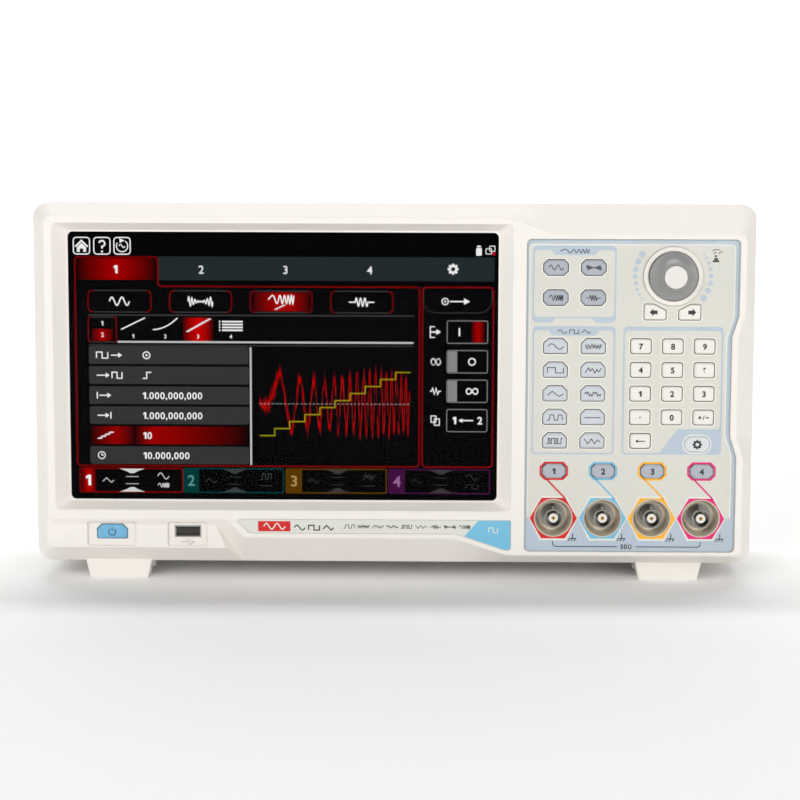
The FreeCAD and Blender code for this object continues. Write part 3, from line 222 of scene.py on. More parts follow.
CREAM = srgb(238, 233, 226)
M = {
    "bezel": finish("bezel_cream", CREAM, 0.5, vary=0.012, soft=0.0006, bump=0.1),
    "case": finish("case_cream", srgb(232, 228, 220), 0.55, vary=0.02, soft=0.0005, bump=0.16),
    "film": ink("overlay_film", srgb(214, 213, 203), 0.42, 0.012),
    "ink_blue": ink("ink_pale_blue", srgb(181, 195, 207), 0.4, 0.02),
    "ink_light": ink("ink_light", srgb(226, 226, 218), 0.4, 0.015),
    "ink_black": ink("ink_black", srgb(38, 38, 42), 0.4, 0.15),
    "ink_red": ink("ink_red", srgb(212, 22, 22), 0.38, 0.04),
    "ink_sky": ink("ink_sky", srgb(116, 188, 220), 0.38, 0.04),
    "ink_amber": ink("ink_amber", srgb(255, 180, 10), 0.38, 0.04),
    "ink_magenta": ink("ink_magenta", srgb(228, 24, 116), 0.38, 0.04),
    "key_function": finish("key_blue_grey", srgb(172, 177, 187), 0.42, vary=0.03, bump=0.08, soft=0.00015),
    "key_wave": finish("key_light_grey", srgb(200, 205, 211), 0.42, vary=0.03, bump=0.08, soft=0.00015),
    "key_white": finish("key_cream", srgb(232, 230, 222), 0.42, vary=0.02, bump=0.08, soft=0.00015),
    "key_utility": finish("key_pale_grey", srgb(214, 217, 219), 0.42, vary=0.02, bump=0.08, soft=0.00015),
    "button_blue": finish("button_sky_blue", srgb(112, 178, 216), 0.36, vary=0.03, bump=0.06, soft=0.0002),
    "knob": finish("knob_grey_satin", srgb(150, 150, 149), 0.46, metal=0.15, vary=0.04, bump=0.06,
                   soft=0.0003),
    "cap": finish("cap_white", srgb(226, 223, 218), 0.4, vary=0.015, bump=0.05, soft=0.0004),
    "silicone": finish("silicone_grey", srgb(150, 152, 154), 0.75, vary=0.05, bump=0.2),
    "board": finish("board_green", srgb(24, 74, 46), 0.4, vary=0.15, patch=120.0, bump=0.2),
    "encoder": finish("encoder_steel", srgb(170, 168, 162), 0.35, metal=1.0, vary=0.06),
    "steel": finish("port_steel", srgb(196, 196, 194), 0.28, metal=1.0, vary=0.06, soft=0.0001),
    "screw": finish("screw_steel", srgb(150, 150, 150), 0.35, metal=1.0, vary=0.1, soft=0.0001),
    "ptfe": finish("ptfe_white", srgb(236, 234, 228), 0.45, vary=0.02, bump=0.06, soft=0.0001),
    "gold": finish("contact_gold", srgb(214, 170, 92), 0.25, metal=1.0, vary=0.08, soft=0.0001),
    "sheet": finish("sheet_metal", srgb(178, 180, 182), 0.4, metal=1.0, vary=0.08, patch=60.0),
    "black": finish("black_plastic", srgb(34, 34, 36), 0.5, vary=0.1, bump=0.2, soft=0.0003),
    "rocker": finish("rocker_black", srgb(26, 26, 28), 0.35, vary=0.1, bump=0.12, soft=0.0004),
    "module": finish("display_black", srgb(16, 16, 18), 0.6, vary=0.1, bump=0.1),
    # the rims round the keys are overlay film; this lighter cream is a painted highlight on their raised edges
    "rim": finish("rim_painted_highlight", srgb(240, 238, 228), 0.4, vary=0.01, bump=0.05),
    # dark ring in the gap round each key: painted shadow standing for the shade in that gap, not a part
    "gap_shadow": finish("painted_gap_shadow", srgb(58, 56, 54), 0.7, vary=0.1, bump=0.1),
    "navy": ink("ink_navy", srgb(36, 66, 104), 0.4, 0.08),
    "strip": ink("strip_grey", srgb(222, 222, 215), 0.36, 0.012),
}


def spaced(node):
    """First X, spacing and height of a row of four jacks, read from their node's box."""
    low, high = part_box(node)
    radius = (high.z - low.z) / 2
    return (low.x + radius, (high.x - low.x - 2 * radius) / 3), (low.z + high.z) / 2


CUP_ROW, CUP_Z = spaced("bnc_cups")
JACK_X = [CUP_ROW[0] + CUP_ROW[1] * i for i in range(4)]
M["cup"] = turned("cup_turned", srgb(236, 224, 204), 0.36, CUP_ROW, CUP_Z, 0.3)
M["nickel"] = finish("nickel_plate", srgb(150, 146, 140), 0.2, metal=1.0, vary=0.05, bump=0.04, soft=0.0001)


def clear_glass():
    """Coated cover glass: clear, with faint smears in its gloss."""
    g = Graph("cover_glass")
    g.link(g.spread(g.noise(14.0, 4.0), 0.0, 0.025), "Roughness")
    g.link(g.ramp(g.noise(30.0), [(0.3, (0.97, 0.97, 0.97, 1.0)), (0.7, (1.0, 1.0, 1.0, 1.0))]), "Base Color")
    g.bump(g.noise(8.0), 0.02, 0.00001)
    g.shader.inputs["Transmission Weight"].default_value = 1.0
    g.shader.inputs["IOR"].default_value = 1.1
    return g.material


M["glass"] = clear_glass()

DRESS = {
    "front_bezel": "bezel", "panel_overlay": "film", "display_glass": "glass", "display_module": "module",
    "keypad_mat": "silicone", "control_board": "board", "encoder_body": "encoder", "usb_port": "steel",
    "bnc_bodies": "nickel", "bnc_insulators": "ptfe", "bnc_contacts": "gold", "bnc_cups": "cup",
    "main_board": "board", "power_supply": "sheet", "rear_case": "case", "fan_frame": "black",
    "power_inlet": "black", "rear_ports": "steel", "case_screws": "screw", "knob": "knob",
    "push_spindle": "cap", "power_button": "button_blue", "power_rocker": "rocker", "fan_rotor": "black",
    "tilt_leg_left": "case", "tilt_leg_right": "case",
}


def dress(item, material):
    """Gives a CAD node its one material."""
    item.data.materials.clear()
    item.data.materials.append(material)


# --- flat outlines, all in millimetres as (x, z), anticlockwise seen from the front ------------

def rounded(corners, radius, steps=5):
    """A polygon with its corners rounded; radius is one number or one for each corner."""
    points = [Vector(c) for c in corners]
    radii = radius if isinstance(radius, (list, tuple)) else [radius] * len(points)
    out = []
    for i, corner in enumerate(points):
        back = (points[i - 1] - corner).normalized()
        ahead = (points[(i + 1) % len(points)] - corner).normalized()
        if radii[i] <= 0:
            out.append(tuple(corner))
            continue
        half = back.angle(ahead) / 2
        centre = corner + (back + ahead).normalized() * (radii[i] / math.sin(half))
        start = corner + back * (radii[i] / math.tan(half)) - centre
        stop = corner + ahead * (radii[i] / math.tan(half)) - centre
        sweep = start.angle_signed(stop)
        first = math.atan2(start.y, start.x)
        for k in range(steps + 1):
            angle = first - sweep * k / steps
            out.append((centre.x + radii[i] * math.cos(angle), centre.y + radii[i] * math.sin(angle)))
    return out


def rect(left, right, low, high, radius=0.0, steps=5):
    return rounded([(left, low), (right, low), (right, high), (left, high)], radius, steps)


def circle(x, z, radius, count=48):
    return [(x + radius * math.cos(2 * math.pi * k / count), z + radius * math.sin(2 * math.pi * k / count))
            for k in range(count)]


def arc(x, z, radius, start, stop, count=16):
    """Points on an arc between two angles in degrees."""
    angles = [math.radians(start + (stop - start) * k / count) for k in range(count + 1)]
    return [(x + radius * math.cos(a), z + radius * math.sin(a)) for a in angles]


def inset(corners, amount):
    """A convex polygon with every side moved inwards."""
    points = [Vector(c) for c in corners]
    sides = []
    for i, start in enumerate(points):
        run = (points[(i + 1) % len(points)] - start).normalized()
        inward = Vector((-run.y, run.x))
        sides.append((start + inward * amount, run))
    out = []
    for i in range(len(points)):
        (a, u), (b, v) = sides[i - 1], sides[i]
        cross = u.x * v.y - u.y * v.x
        t = ((b.x - a.x) * v.y - (b.y - a.y) * v.x) / cross
        out.append(tuple(a + u * t))
    return out


def wave(kind, width, height, count=2):
    """The trace of a waveform, centred on the origin."""
    w, h = width / 2, height / 2
    rng = random.Random(len(kind))
    if kind == "sine":
        return [(-w + width * k / 40, h * math.sin(2 * math.pi * count * k / 40 / 2)) for k in range(41)]
    if kind == "square":
        return [(-w, -h), (-w, h), (0, h), (0, -h), (w, -h), (w, h)]
    if kind == "ramp":
        return [(-w, -h * 0.6), (-w * 0.35, h), (w * 0.5, -h), (w, 0)]
    if kind == "pulse":
        return [(-w, -h), (-w * 0.7, -h), (-w * 0.6, h), (-w * 0.15, h), (-w * 0.05, -h), (w * 0.35, -h),
                (w * 0.45, h), (w * 0.85, h), (w * 0.95, -h)]
    if kind == "noise":
        return [(-w + width * k / 22, h * rng.uniform(0.35, 1.0) * (-1) ** k) for k in range(23)]
    if kind == "arb":
        return [(-w, -h), (-w * 0.6, h), (-w * 0.35, -h * 0.3), (-w * 0.1, h * 0.7), (w * 0.2, -h),
                (w * 0.45, h * 0.4),
                (w * 0.65, -h * 0.6), (w, h * 0.8)]
    if kind == "harmonic":
        return [(-w + width * k / 48,
                 h * (0.55 * math.sin(4 * math.pi * k / 48) + 0.45 * math.sin(12 * math.pi * k / 48)))
                for k in range(49)]
    if kind == "dc":
        return [(-w, 0), (w, 0)]
    if kind == "prbs":
        levels = (0, 1, 0, 1, 1, 0, 1, 0, 0, 1)
        out = []
        for k, level in enumerate(levels):
            z = h if level else -h
            out += [(-w + width * k / len(levels), z), (-w + width * (k + 1) / len(levels), z)]
        return out
    if kind == "user":
        return [(-w, h), (-w * 0.55, -h), (-w * 0.1, h * 0.9), (w * 0.3, -h), (w * 0.65, h * 0.5),
                (w, -h * 0.3)]
    if kind == "modulate":
        return [(-w + width * k / 72,
                 h * math.sin(16 * math.pi * k / 72) * (0.55 + 0.45 * math.cos(2 * math.pi * k / 72)))
                for k in range(73)]
    if kind == "sweep":
        return [(-w + width * k / 90,
                 h * math.sin(2 * math.pi * (0.6 + 4.2 * (k / 90)) * (k / 90) * 1.1)) for k in range(91)]
    if kind == "burst":
        out = [(-w, 0)]
        out += [(-w * 0.5 + width * 0.5 * k / 48, h * math.sin(6 * math.pi * k / 48)) for k in range(49)]
        return out + [(w, 0)]
    return [(-w, -h), (w, h)]


GLYPHS = {}


def glyph(letter, bold):
    """Points and faces of one digit or sign with its left edge at 0; a digit is 0.7 high."""
    if letter == "1":
        half = 0.075 + bold
        return ([(0.24 - half, 0), (0.24 + half, 0), (0.24 + half, 0.7), (0.24 - half, 0.7), (0.0, 0.6),
                 (0.0, 0.6 - 2 * half), (0.24 - half, 0.7 - 2 * half)], [(0, 1, 2, 3), (3, 4, 5, 6)])
    if (letter, bold) not in GLYPHS:
        curve = bpy.data.curves.new("glyph", "FONT")
        curve.body = letter
        curve.offset = bold
        holder = bpy.data.objects.new("glyph", curve)
        bpy.context.scene.collection.objects.link(holder)
        bpy.context.view_layer.update()
        mesh = bpy.data.meshes.new_from_object(holder.evaluated_get(bpy.context.evaluated_depsgraph_get()))
        left = min(v.co.x for v in mesh.vertices)
        GLYPHS[letter, bold] = ([(v.co.x - left, v.co.y) for v in mesh.vertices],
                            [tuple(p.vertices) for p in mesh.polygons])
        bpy.data.objects.remove(holder)
        bpy.data.meshes.remove(mesh)
        bpy.data.curves.remove(curve)
    return GLYPHS[letter, bold]


def glyphs(words, bold):
    """Points and faces of a line of digits or signs."""
    points, faces, x = [], [], 0.0
    for letter in words:
        part, loops = glyph(letter, bold)
        faces += [[len(points) + i for i in loop] for loop in loops]
        points += [(x + px, py) for px, py in part]
        x = max(px for px, _ in points) + 0.09
    return points, faces


class Layer:
    """Thin flat shapes of one finish on one plane that faces the front."""

    def __init__(self, y, place=None):
        self.y = y
        self.place = place or (lambda x, z: (x * MM, z * MM))
        self.points = []
        self.faces = []

    def add(self, points, faces):
        start = len(self.points)
        for x, z in points:
            px, pz = self.place(x, z)
            self.points.append((px, self.y, pz))
        for face in faces:
            loop = [start + i for i in face]
            total = 0.0
            for a, b in zip(loop, loop[1:] + loop[:1]):
                total += self.points[a][0] * self.points[b][2] - self.points[b][0] * self.points[a][2]
            self.faces.append(loop if total > 0 else loop[::-1])
        return self

    def area(self, outline, *holes):
        loops = [[Vector((x, z, 0.0)) for x, z in loop] for loop in (outline, *holes)]
        flat = [(p.x, p.y) for loop in loops for p in loop]
        return self.add(flat, geometry.tessellate_polygon(loops))

    def line(self, points, width, closed=False):
        pts = [Vector(p) for p in points]
        count = len(pts)
        side = []
        for i, point in enumerate(pts):
            before = pts[i - 1] if closed or i > 0 else None
            after = pts[(i + 1) % count] if closed or i < count - 1 else None
            runs = [d.normalized() for d in ((point - before) if before is not None else None,
                                             (after - point) if after is not None else None)
                    if d is not None and d.length > 1e-9]
            along = sum(runs, Vector((0, 0))).normalized()
            if along.length < 0.5:
                along = runs[0]
            normal = Vector((-along.y, along.x))
            lean = max(0.35, abs(normal.dot(Vector((-runs[0].y, runs[0].x)))))
            side.append((point + normal * (width / 2 / lean), point - normal * (width / 2 / lean)))
        flat = [tuple(p) for pair in side for p in pair]
        last = count if closed else count - 1
        faces = [(2 * i, 2 * i + 1, 2 * ((i + 1) % count) + 1, 2 * ((i + 1) % count)) for i in range(last)]
        return self.add(flat, faces)

    def ring(self, corners, width, radius=0.0):
        """A closed band just inside a convex outline."""
        outer = rounded(corners, radius) if radius else corners
        inner_corners = inset(corners, width)
        inner = rounded(inner_corners, max(0.01, radius - width)) if radius else inner_corners
        return self.area(outer, inner)

    def text(self, words, x, z, height, bold=0.012, align=0.5):
        """Digits or signs with their middle (align 0.5) or left end (align 0) at x."""
        points, faces = glyphs(words, bold)
        scale = height / 0.7
        low = min(p[0] for p in points)
        high = max(p[0] for p in points)
        shift = low + (high - low) * align
        placed = [(x + (px - shift) * scale, z - height / 2 + py * scale) for px, py in points]
        return self.add(placed, faces)

    def build(self, name, material, body="chassis", slot=None):
        mesh = bpy.data.meshes.new(name)
        mesh.from_pydata(self.points, [], self.faces)
        mesh.materials.append(material)
        item = bpy.data.objects.new(name, mesh)
        bpy.context.scene.collection.objects.link(item)
        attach(item, body)
        return item


def moved(points, x, z):
    return [(px + x, pz + z) for px, pz in points]


def lofted(name, rings, material, body, close_front=True, close_back=True, sharp=32):
    """A closed skin through rings of points with as many points each; each ring is [(x, y, z)] in metres."""
    mesh = bpy.data.meshes.new(name)
    build = bmesh.new()
    rows = [[build.verts.new(p) for p in ring] for ring in rings]
    count = len(rings[0])
    for a, b in zip(rows, rows[1:]):
        for i in range(count):
            build.faces.new((a[i], a[(i + 1) % count], b[(i + 1) % count], b[i]))
    if close_front:
        build.faces.new(rows[0][::-1])
    if close_back:
        build.faces.new(rows[-1])
    bmesh.ops.recalc_face_normals(build, faces=build.faces)
    for face in build.faces:
        face.smooth = True
    for edge in build.edges:
        if len(edge.link_faces) == 2 and edge.calc_face_angle() > math.radians(sharp):
            edge.smooth = False
    build.to_mesh(mesh)
    build.free()
    mesh.materials.append(material)
    item = bpy.data.objects.new(name, mesh)
    bpy.context.scene.collection.objects.link(item)
    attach(item, body)
    return item


# --- key caps ---------------------------------------------------------------------------------

LIP = 0.9          # a key's hidden flange beyond its cap
STYLE = {}
for name in ("continuous", "modulate", "sweep", "burst", "channel_1", "channel_2", "channel_3", "channel_4"):
    STYLE["key_" + name] = ("octagon", "key_function")
WAVES = ("sine", "noise", "square", "arb", "ramp", "harmonic", "pulse", "dc", "prbs", "user")
for name in WAVES:
    STYLE["key_" + name] = ("arch", "key_wave")
for name in ("0", "1", "2", "3", "4", "5", "6", "7", "8", "9", "point", "sign", "backspace"):
    STYLE["key_" + name] = ("cushion", "key_white")
STYLE["key_left"] = ("left", "key_white")
STYLE["key_right"] = ("right", "key_white")
STYLE["key_utility"] = ("stadium", "key_utility")
STYLE["power_button"] = ("power", "button_blue")
CUTS = {  # corner cuts from the lower left, anticlockwise, as (along x, along z)
    "octagon": ((2.1, 2.1), (2.1, 2.1), (2.1, 2.1), (2.1, 2.1)),
    "arch": ((0.7, 0.7), (0.7, 0.7), (2.5, 2.5), (2.5, 2.5)),
    "left": ((0.6, 0.6), (0.6, 0.6), (6.0, 3.1), (0.6, 0.6)),
    "right": ((0.6, 0.6), (0.6, 0.6), (0.6, 0.6), (6.0, 3.1)),
    "power": ((0.6, 0.6), (0.6, 0.6), (2.6, 2.6), (2.6, 2.6)),
}


def cap_face(node):
    """Middle, half width, half height in millimetres and front Y in metres of a key's cap."""
    low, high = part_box(node)
    x = (low.x + high.x) / 2 / MM
    z = (low.z + high.z) / 2 / MM
    return x, z, (high.x - low.x) / 2 / MM - LIP, (high.z - low.z) / 2 / MM - LIP, low.y


def cap_outline(style, w, h, amount):
    """A cap's outline about its middle, moved inwards by an amount."""
    if style == "cushion":
        out = []
        for k in range(56):
            a = 2 * math.pi * k / 56
            c, s = math.cos(a), math.sin(a)
            out.append(((w - amount) * math.copysign(abs(c) ** 0.26, c),
                        (h - amount) * math.copysign(abs(s) ** 0.26, s)))
        return out
    if style == "stadium":
        return rect(-w + amount, w - amount, -h + amount, h - amount, h - amount - 0.05, 10)
    kept = []
    for a, b in CUTS[style]:
        slant = math.hypot(a, b)
        kept.append((max(0.2, a - amount * (1 + (a - slant) / b)),
                     max(0.2, b - amount * (1 + (b - slant) / a))))
    (a, b), (c, d), (e, f), (g, i) = kept
    w, h = w - amount, h - amount
    corners = [(-w, -h + b), (-w + a, -h), (w - c, -h), (w, -h + d), (w, h - f), (w - e, h), (-w + g, h),
               (-w, h - i)]
    return rounded(corners, 0.28, 3)


def key_cap(node, style, material):
    """A key's crowned cap, which stands for its plain CAD node."""
    x, z, w, h, front = cap_face(node)
    bevel = 0.95 if style in ("octagon", "arch", "power") else 0.6
    steps = [(bevel + 1.2, 0.0), (bevel + 0.15, 0.03), (bevel - 0.1, 0.1), (0.16, 0.62), (0.02, 0.82),
             (0.0, 1.1),
             (0.0, 4.2), (-LIP, 4.2), (-LIP, 5.4)]
    rings = []
    for amount, back in steps:
        rings.append([((x + px) * MM, front + back * MM, (z + pz) * MM) for px,
                      pz in cap_outline(style, w, h, amount)])
    body = NODES[node]["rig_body"]
    item = lofted(node + "_cap", rings, M[material], body)
    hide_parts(node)
    return item


def key_frames():
    """The overlay's raised rim round every key's hole, in a cream lighter than the overlay as a painted
    highlight, and a dark ring in the gap round each key as a painted shadow.
    """
    # a flat dark ring just behind the overlay's front, in the gap round each key: painted shadow
    gap_shadow = Layer(FILM + 0.35 * MM)
    for node, (style, _) in STYLE.items():
        if node == "power_button":
            continue
        x, z, w, h, _ = cap_face(node)
        gap_shadow.area(moved(cap_outline(style, w, h, -0.46), x, z),
                  moved(cap_outline(style, w, h, -0.07), x, z)[::-1])
        if "channel" in node:
            continue
        rings = []
        for amount, forward in ((-0.42, -0.2), (-0.42, 0.16), (-0.62, 0.2), (-0.95, 0.02), (-0.95, -0.2)):
            rings.append([((x + px) * MM, FILM - forward * MM, (z + pz) * MM)
                          for px, pz in cap_outline(style, w, h, amount)])
        # each rim takes the lighter cream, a painted highlight on the overlay's raised edge
        lofted(node + "_rim", rings, M["rim"], "chassis", False, False)
    gap_shadow.build("key_gap_shadows", M["gap_shadow"], slot="silicone")


def legends():
    """Digits, arrows and waveforms on the keys; each rides with its key."""
    lift = 0.02 * MM

    def face(node):
        x, z, _, _, front = cap_face(node)
        return x, z, Layer(front - lift), NODES[node]["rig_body"]

    for digit in "0123456789":
        x, z, layer, body = face("key_" + digit)
        layer.text(digit, x, z, 2.85, 0.04).build(f"legend_{digit}", M["ink_black"], body)
    x, z, layer, body = face("key_point")
    layer.area(circle(x, z, 0.42, 20)).build("legend_point", M["ink_black"], body)
    x, z, layer, body = face("key_sign")
    layer.line([(x - 2.8, z), (x - 1.0, z)], 0.58).line([(x - 1.9, z - 0.9), (x - 1.9, z + 0.9)], 0.58)
    layer.line([(x - 0.45, z - 1.2), (x + 0.45, z + 1.2)], 0.42).line([(x + 1.0, z), (x + 2.8, z)], 0.58)
    layer.build("legend_sign", M["ink_black"], body)
    x, z, layer, body = face("key_backspace")
    layer.line([(x - 1.6, z), (x + 2.4, z)], 0.5).area([(x - 2.6, z), (x - 1.2, z - 0.95),
                        (x - 1.2, z + 0.95)])
    layer.build("legend_backspace", M["ink_black"], body)
    for node, way in (("key_left", -1), ("key_right", 1)):
        x, z, layer, body = face(node)
        x += way * 1.4 - (0.4 if way > 0 else -0.6)
        layer.area([(x + way * 2.1, z - 0.1), (x + way * 0.2, z + 1.9), (x + way * 0.2, z + 0.85),
                    (x - way * 1.9, z + 0.85),
                    (x - way * 1.9, z - 1.05), (x + way * 0.2, z - 1.05), (x + way * 0.2, z - 2.1)][::way])
        layer.build(f"legend_{node[4:]}", M["ink_black"], body)
    for number in range(1, 5):
        x, z, layer, body = face(f"key_channel_{number}")
        layer.text(str(number), x, z, 3.0, 0.04).build(f"legend_channel_{number}", M["ink_black"], body)
    for kind in WAVES:
        x, z, layer, body = face("key_" + kind)
        layer.line(moved(wave(kind, 8.2, 2.7), x, z - 0.2), 0.42).build(f"legend_{kind}", M["ink_black"],
                            body)
    for kind, sign in (("continuous", "sine"), ("modulate", "modulate"), ("sweep", "sweep"),
                       ("burst", "burst")):
        x, z, layer, body = face("key_" + kind)
        layer.line(moved(wave(sign, 7.4, 2.6, 4), x, z), 0.42).build(f"legend_{kind}", M["ink_black"], body)
    x, z, layer, body = face("key_utility")
    gear(layer, x, z, 2.5)
    layer.build("legend_utility", M["ink_black"], body)
    x, z, layer, body = face("power_button")
    layer.line(arc(x, z - 0.2, 1.75, 125, 415, 26), 0.5).line([(x, z + 0.2), (x, z + 2.2)], 0.5)
    layer.build("legend_power", M["navy"], body)


def gear(layer, x, z, radius):
    """A toothed wheel with a hole."""
    outline = []
    for k in range(8):
        a = 2 * math.pi * k / 8
        for turn, reach in ((-0.27, 0.76), (-0.17, 1.0), (0.17, 1.0), (0.27, 0.76)):
            outline.append((x + radius * reach * math.cos(a + turn), z + radius * reach * math.sin(a + turn)))
    layer.area(outline, circle(x, z, radius * 0.36, 20))


# --- printing on the control panel ------------------------------------------------------------

def panel_outline(left, right, low, high, waist, radius):
    """The overlay's outline with its waist beside the number keys."""
    corners = [(left, low), (right, low), (right, 66.4), (right - waist, 76.8), (right - waist, 127.9),
               (right, 138.7),
               (right, high), (left, high)]
    return rounded(corners, [radius, radius, 3, 3, 3, 3, radius, radius])


def hexagon(x, z, grow=0.0):
    w, top, h = 12.2 + min(grow * 1.15, 0.38), 6.15 + grow * 0.58, 10.55 + grow
    return [(x - w, z), (x - top, z - h), (x + top, z - h), (x + w, z), (x + top, z + h), (x - top, z + h)]


def print_on(layer, name, ink_name):
    """Puts a layer of ink on the overlay or the name strip."""
    return layer.build(name, M[ink_name], slot="overlay_film")


def prints():
    """Boxes, hexagons, dots and symbols printed on the overlay, in one layer for each ink."""
    low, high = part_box("panel_overlay")
    left, right, bottom, top = low.x / MM, high.x / MM, low.z / MM, high.z / MM
    jacks = [x / MM for x in JACK_X]
    jack_z = CUP_Z / MM
    hole = 9.95    # the inks stop just outside the cups, whose mouths are 9.9 in radius
    edge = panel_outline(left + 0.05, right - 0.05, bottom + 0.05, top - 0.05, 3.4, 2.5)
    blue = Layer(FILM - 2 * INK)
    scallops = []
    for x in jacks:
        scallops += arc(x, jack_z, hole, 180, 360, 24)
    upper = rounded([(right - 2.0, jack_z), (right - 2.0, 66.8), (right - 5.4, 77.2), (right - 5.4, 127.5),
                     (right - 2.0, 138.3), (right - 2.0, top - 2.3), (left + 1.1, top - 2.3),
                     (left + 1.1, jack_z)],
                    [0, 3, 3, 3, 3, 2.2, 2.2, 0])
    blue.area(edge, scallops + upper)
    # function box, with a tab for its title and a step in its lower edge
    blue.area(rounded([(70.5, 135.0), (80.3, 135.0), (82.5, 137.25), (100.6, 137.25), (102.8, 135.0),
                       (112.9, 135.0),
                       (112.9, 174.0), (70.5, 174.0)], [2.4, 0.6, 0.8, 0.8, 0.6, 2.4, 2.4, 2.4]),
              rounded([(71.4, 137.95), (112.1, 137.95), (112.1, 171.75), (104.0, 171.75), (102.2, 169.25),
                       (81.7, 169.25),
                       (79.9, 171.75), (71.4, 171.75)], [1.8, 1.8, 2.0, 0.6, 1.0, 1.0, 0.6, 2.0]))
    # waveform box
    blue.area(rect(70.7, 112.9, 67.4, 133.15, 2.2),
              rounded([(71.6, 68.25), (112.0, 68.25), (112.0, 131.0), (104.6, 131.0), (103.0, 128.45),
                       (80.6, 128.45),
                       (79.0, 131.0), (71.6, 131.0)], [1.6, 1.6, 2.0, 0.6, 1.0, 1.0, 0.6, 2.0]))
    # number box, filled in under the utility key
    blue.area(rect(116.9, 167.8, 67.4, 133.15, 2.2),
              rounded([(117.8, 68.25), (136.1, 68.25), (145.4, 80.7), (166.9, 80.7), (166.9, 131.0),
                       (117.8, 131.0)],
                      [1.6, 2.0, 2.4, 1.6, 2.0, 2.0]))
    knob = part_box("knob")
    kx, kz = (knob[0].x + knob[1].x) / 2 / MM, (knob[0].z + knob[1].z) / 2 / MM
    for half in (0, 180):
        angle = 144.8 + half
        for k in range(8):
            a = math.radians(angle)
            blue.area(circle(kx + 19.2 * math.cos(a), kz + 19.2 * math.sin(a), 1.72 - 0.165 * k, 28))
            angle += 12.9 - 0.9 * k
    print_on(blue, "print_blue", "ink_blue")

    light = Layer(FILM - 3 * INK)
    for x in jacks:
        light.area(hexagon(x, jack_z - 0.2, 1.0), circle(x, jack_z, hole)[::-1])
    trim = rounded([(right - 2.35, jack_z + 0.5), (right - 2.35, 66.9), (right - 5.75, 77.3),
                    (right - 5.75, 127.4),
                    (right - 2.35, 138.2), (right - 2.35, top - 2.6), (left + 1.5, top - 2.6),
                    (left + 1.5, jack_z + 0.5)],
                   [0, 3, 3, 3, 3, 2.0, 2.0, 0])
    light.line(trim, 0.7)
    print_on(light, "print_light", "ink_light")

    for x, tone in zip(jacks, ("red", "sky", "amber", "magenta")):
        colour = Layer(FILM - 4 * INK)
        colour.area(hexagon(x, jack_z - 0.2), circle(x, jack_z, hole)[::-1])
        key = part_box(f"key_channel_{jacks.index(x) + 1}")
        cx, cz = (key[0].x + key[1].x) / 2 / MM, (key[0].z + key[1].z) / 2 / MM
        corners = [(-7.3, -2.2), (-4.8, -4.75), (4.8, -4.75), (7.3, -2.2), (7.3, 2.2), (4.8, 4.75),
                   (-4.8, 4.75), (-7.3, 2.2)]
        colour.ring(moved(corners, cx, cz), 0.95, 0.4)
        colour.line([(cx - 3.6, cz - 4.4), (x + 6.1, jack_z + 10.0)], 0.8)
        print_on(colour, "print_" + tone, "ink_" + tone)

    black = Layer(FILM - 5 * INK)
    for x in jacks:
        gx = x + 10.1
        black.line([(gx, 26.4), (gx, 23.7)], 0.46).line([(gx - 1.8, 23.7), (gx + 1.8, 23.7)], 0.46)
        for k in (-1.6, 0, 1.6):
            black.line([(gx + k, 23.7), (gx + k - 0.8, 22.3)], 0.46)
    black.line([(82.2, 22.2), (82.3, 20.6), (82.9, 19.8), (84.0, 19.45), (115.4, 19.45)], 0.44)
    black.line([(125.0, 19.45), (156.6, 19.45), (157.6, 19.8), (158.1, 20.6), (158.2, 22.0)], 0.44)
    black.text("50", 118.8, 19.5, 2.3, 0.03)
    black.line([(120.9, 18.5), (121.6, 18.5), (121.3, 19.0), (121.1, 19.7), (121.35, 20.3), (121.9, 20.6),
                (122.45, 20.3),
                (122.7, 19.7), (122.5, 19.0), (122.2, 18.5), (122.9, 18.5)], 0.38)
    finger = [(161.2, 166.0), (165.0, 166.0), (164.5, 166.9), (161.8, 166.9)]
    black.area(finger).area(rect(162.2, 164.1, 167.0, 168.0, 0.2)).area(circle(163.0, 169.0, 0.55, 16))
    black.line(arc(163.4, 169.2, 3.2, 130, 62, 8), 0.35).line(arc(166.6, 169.0, 2.4, 150, 92, 6), 0.35)
    black.line([(162.0, 170.2), (163.2, 171.2)], 0.35)
    black.line(moved(wave("sweep", 15.0, 1.9), 91.8, 171.3), 0.38)
    for k, kind in enumerate(("sine", "square", "ramp")):
        black.line(moved(wave(kind, 4.6, 1.8), 85.8 + 6.1 * k, 130.4), 0.38)
    print_on(black, "print_black", "ink_black")


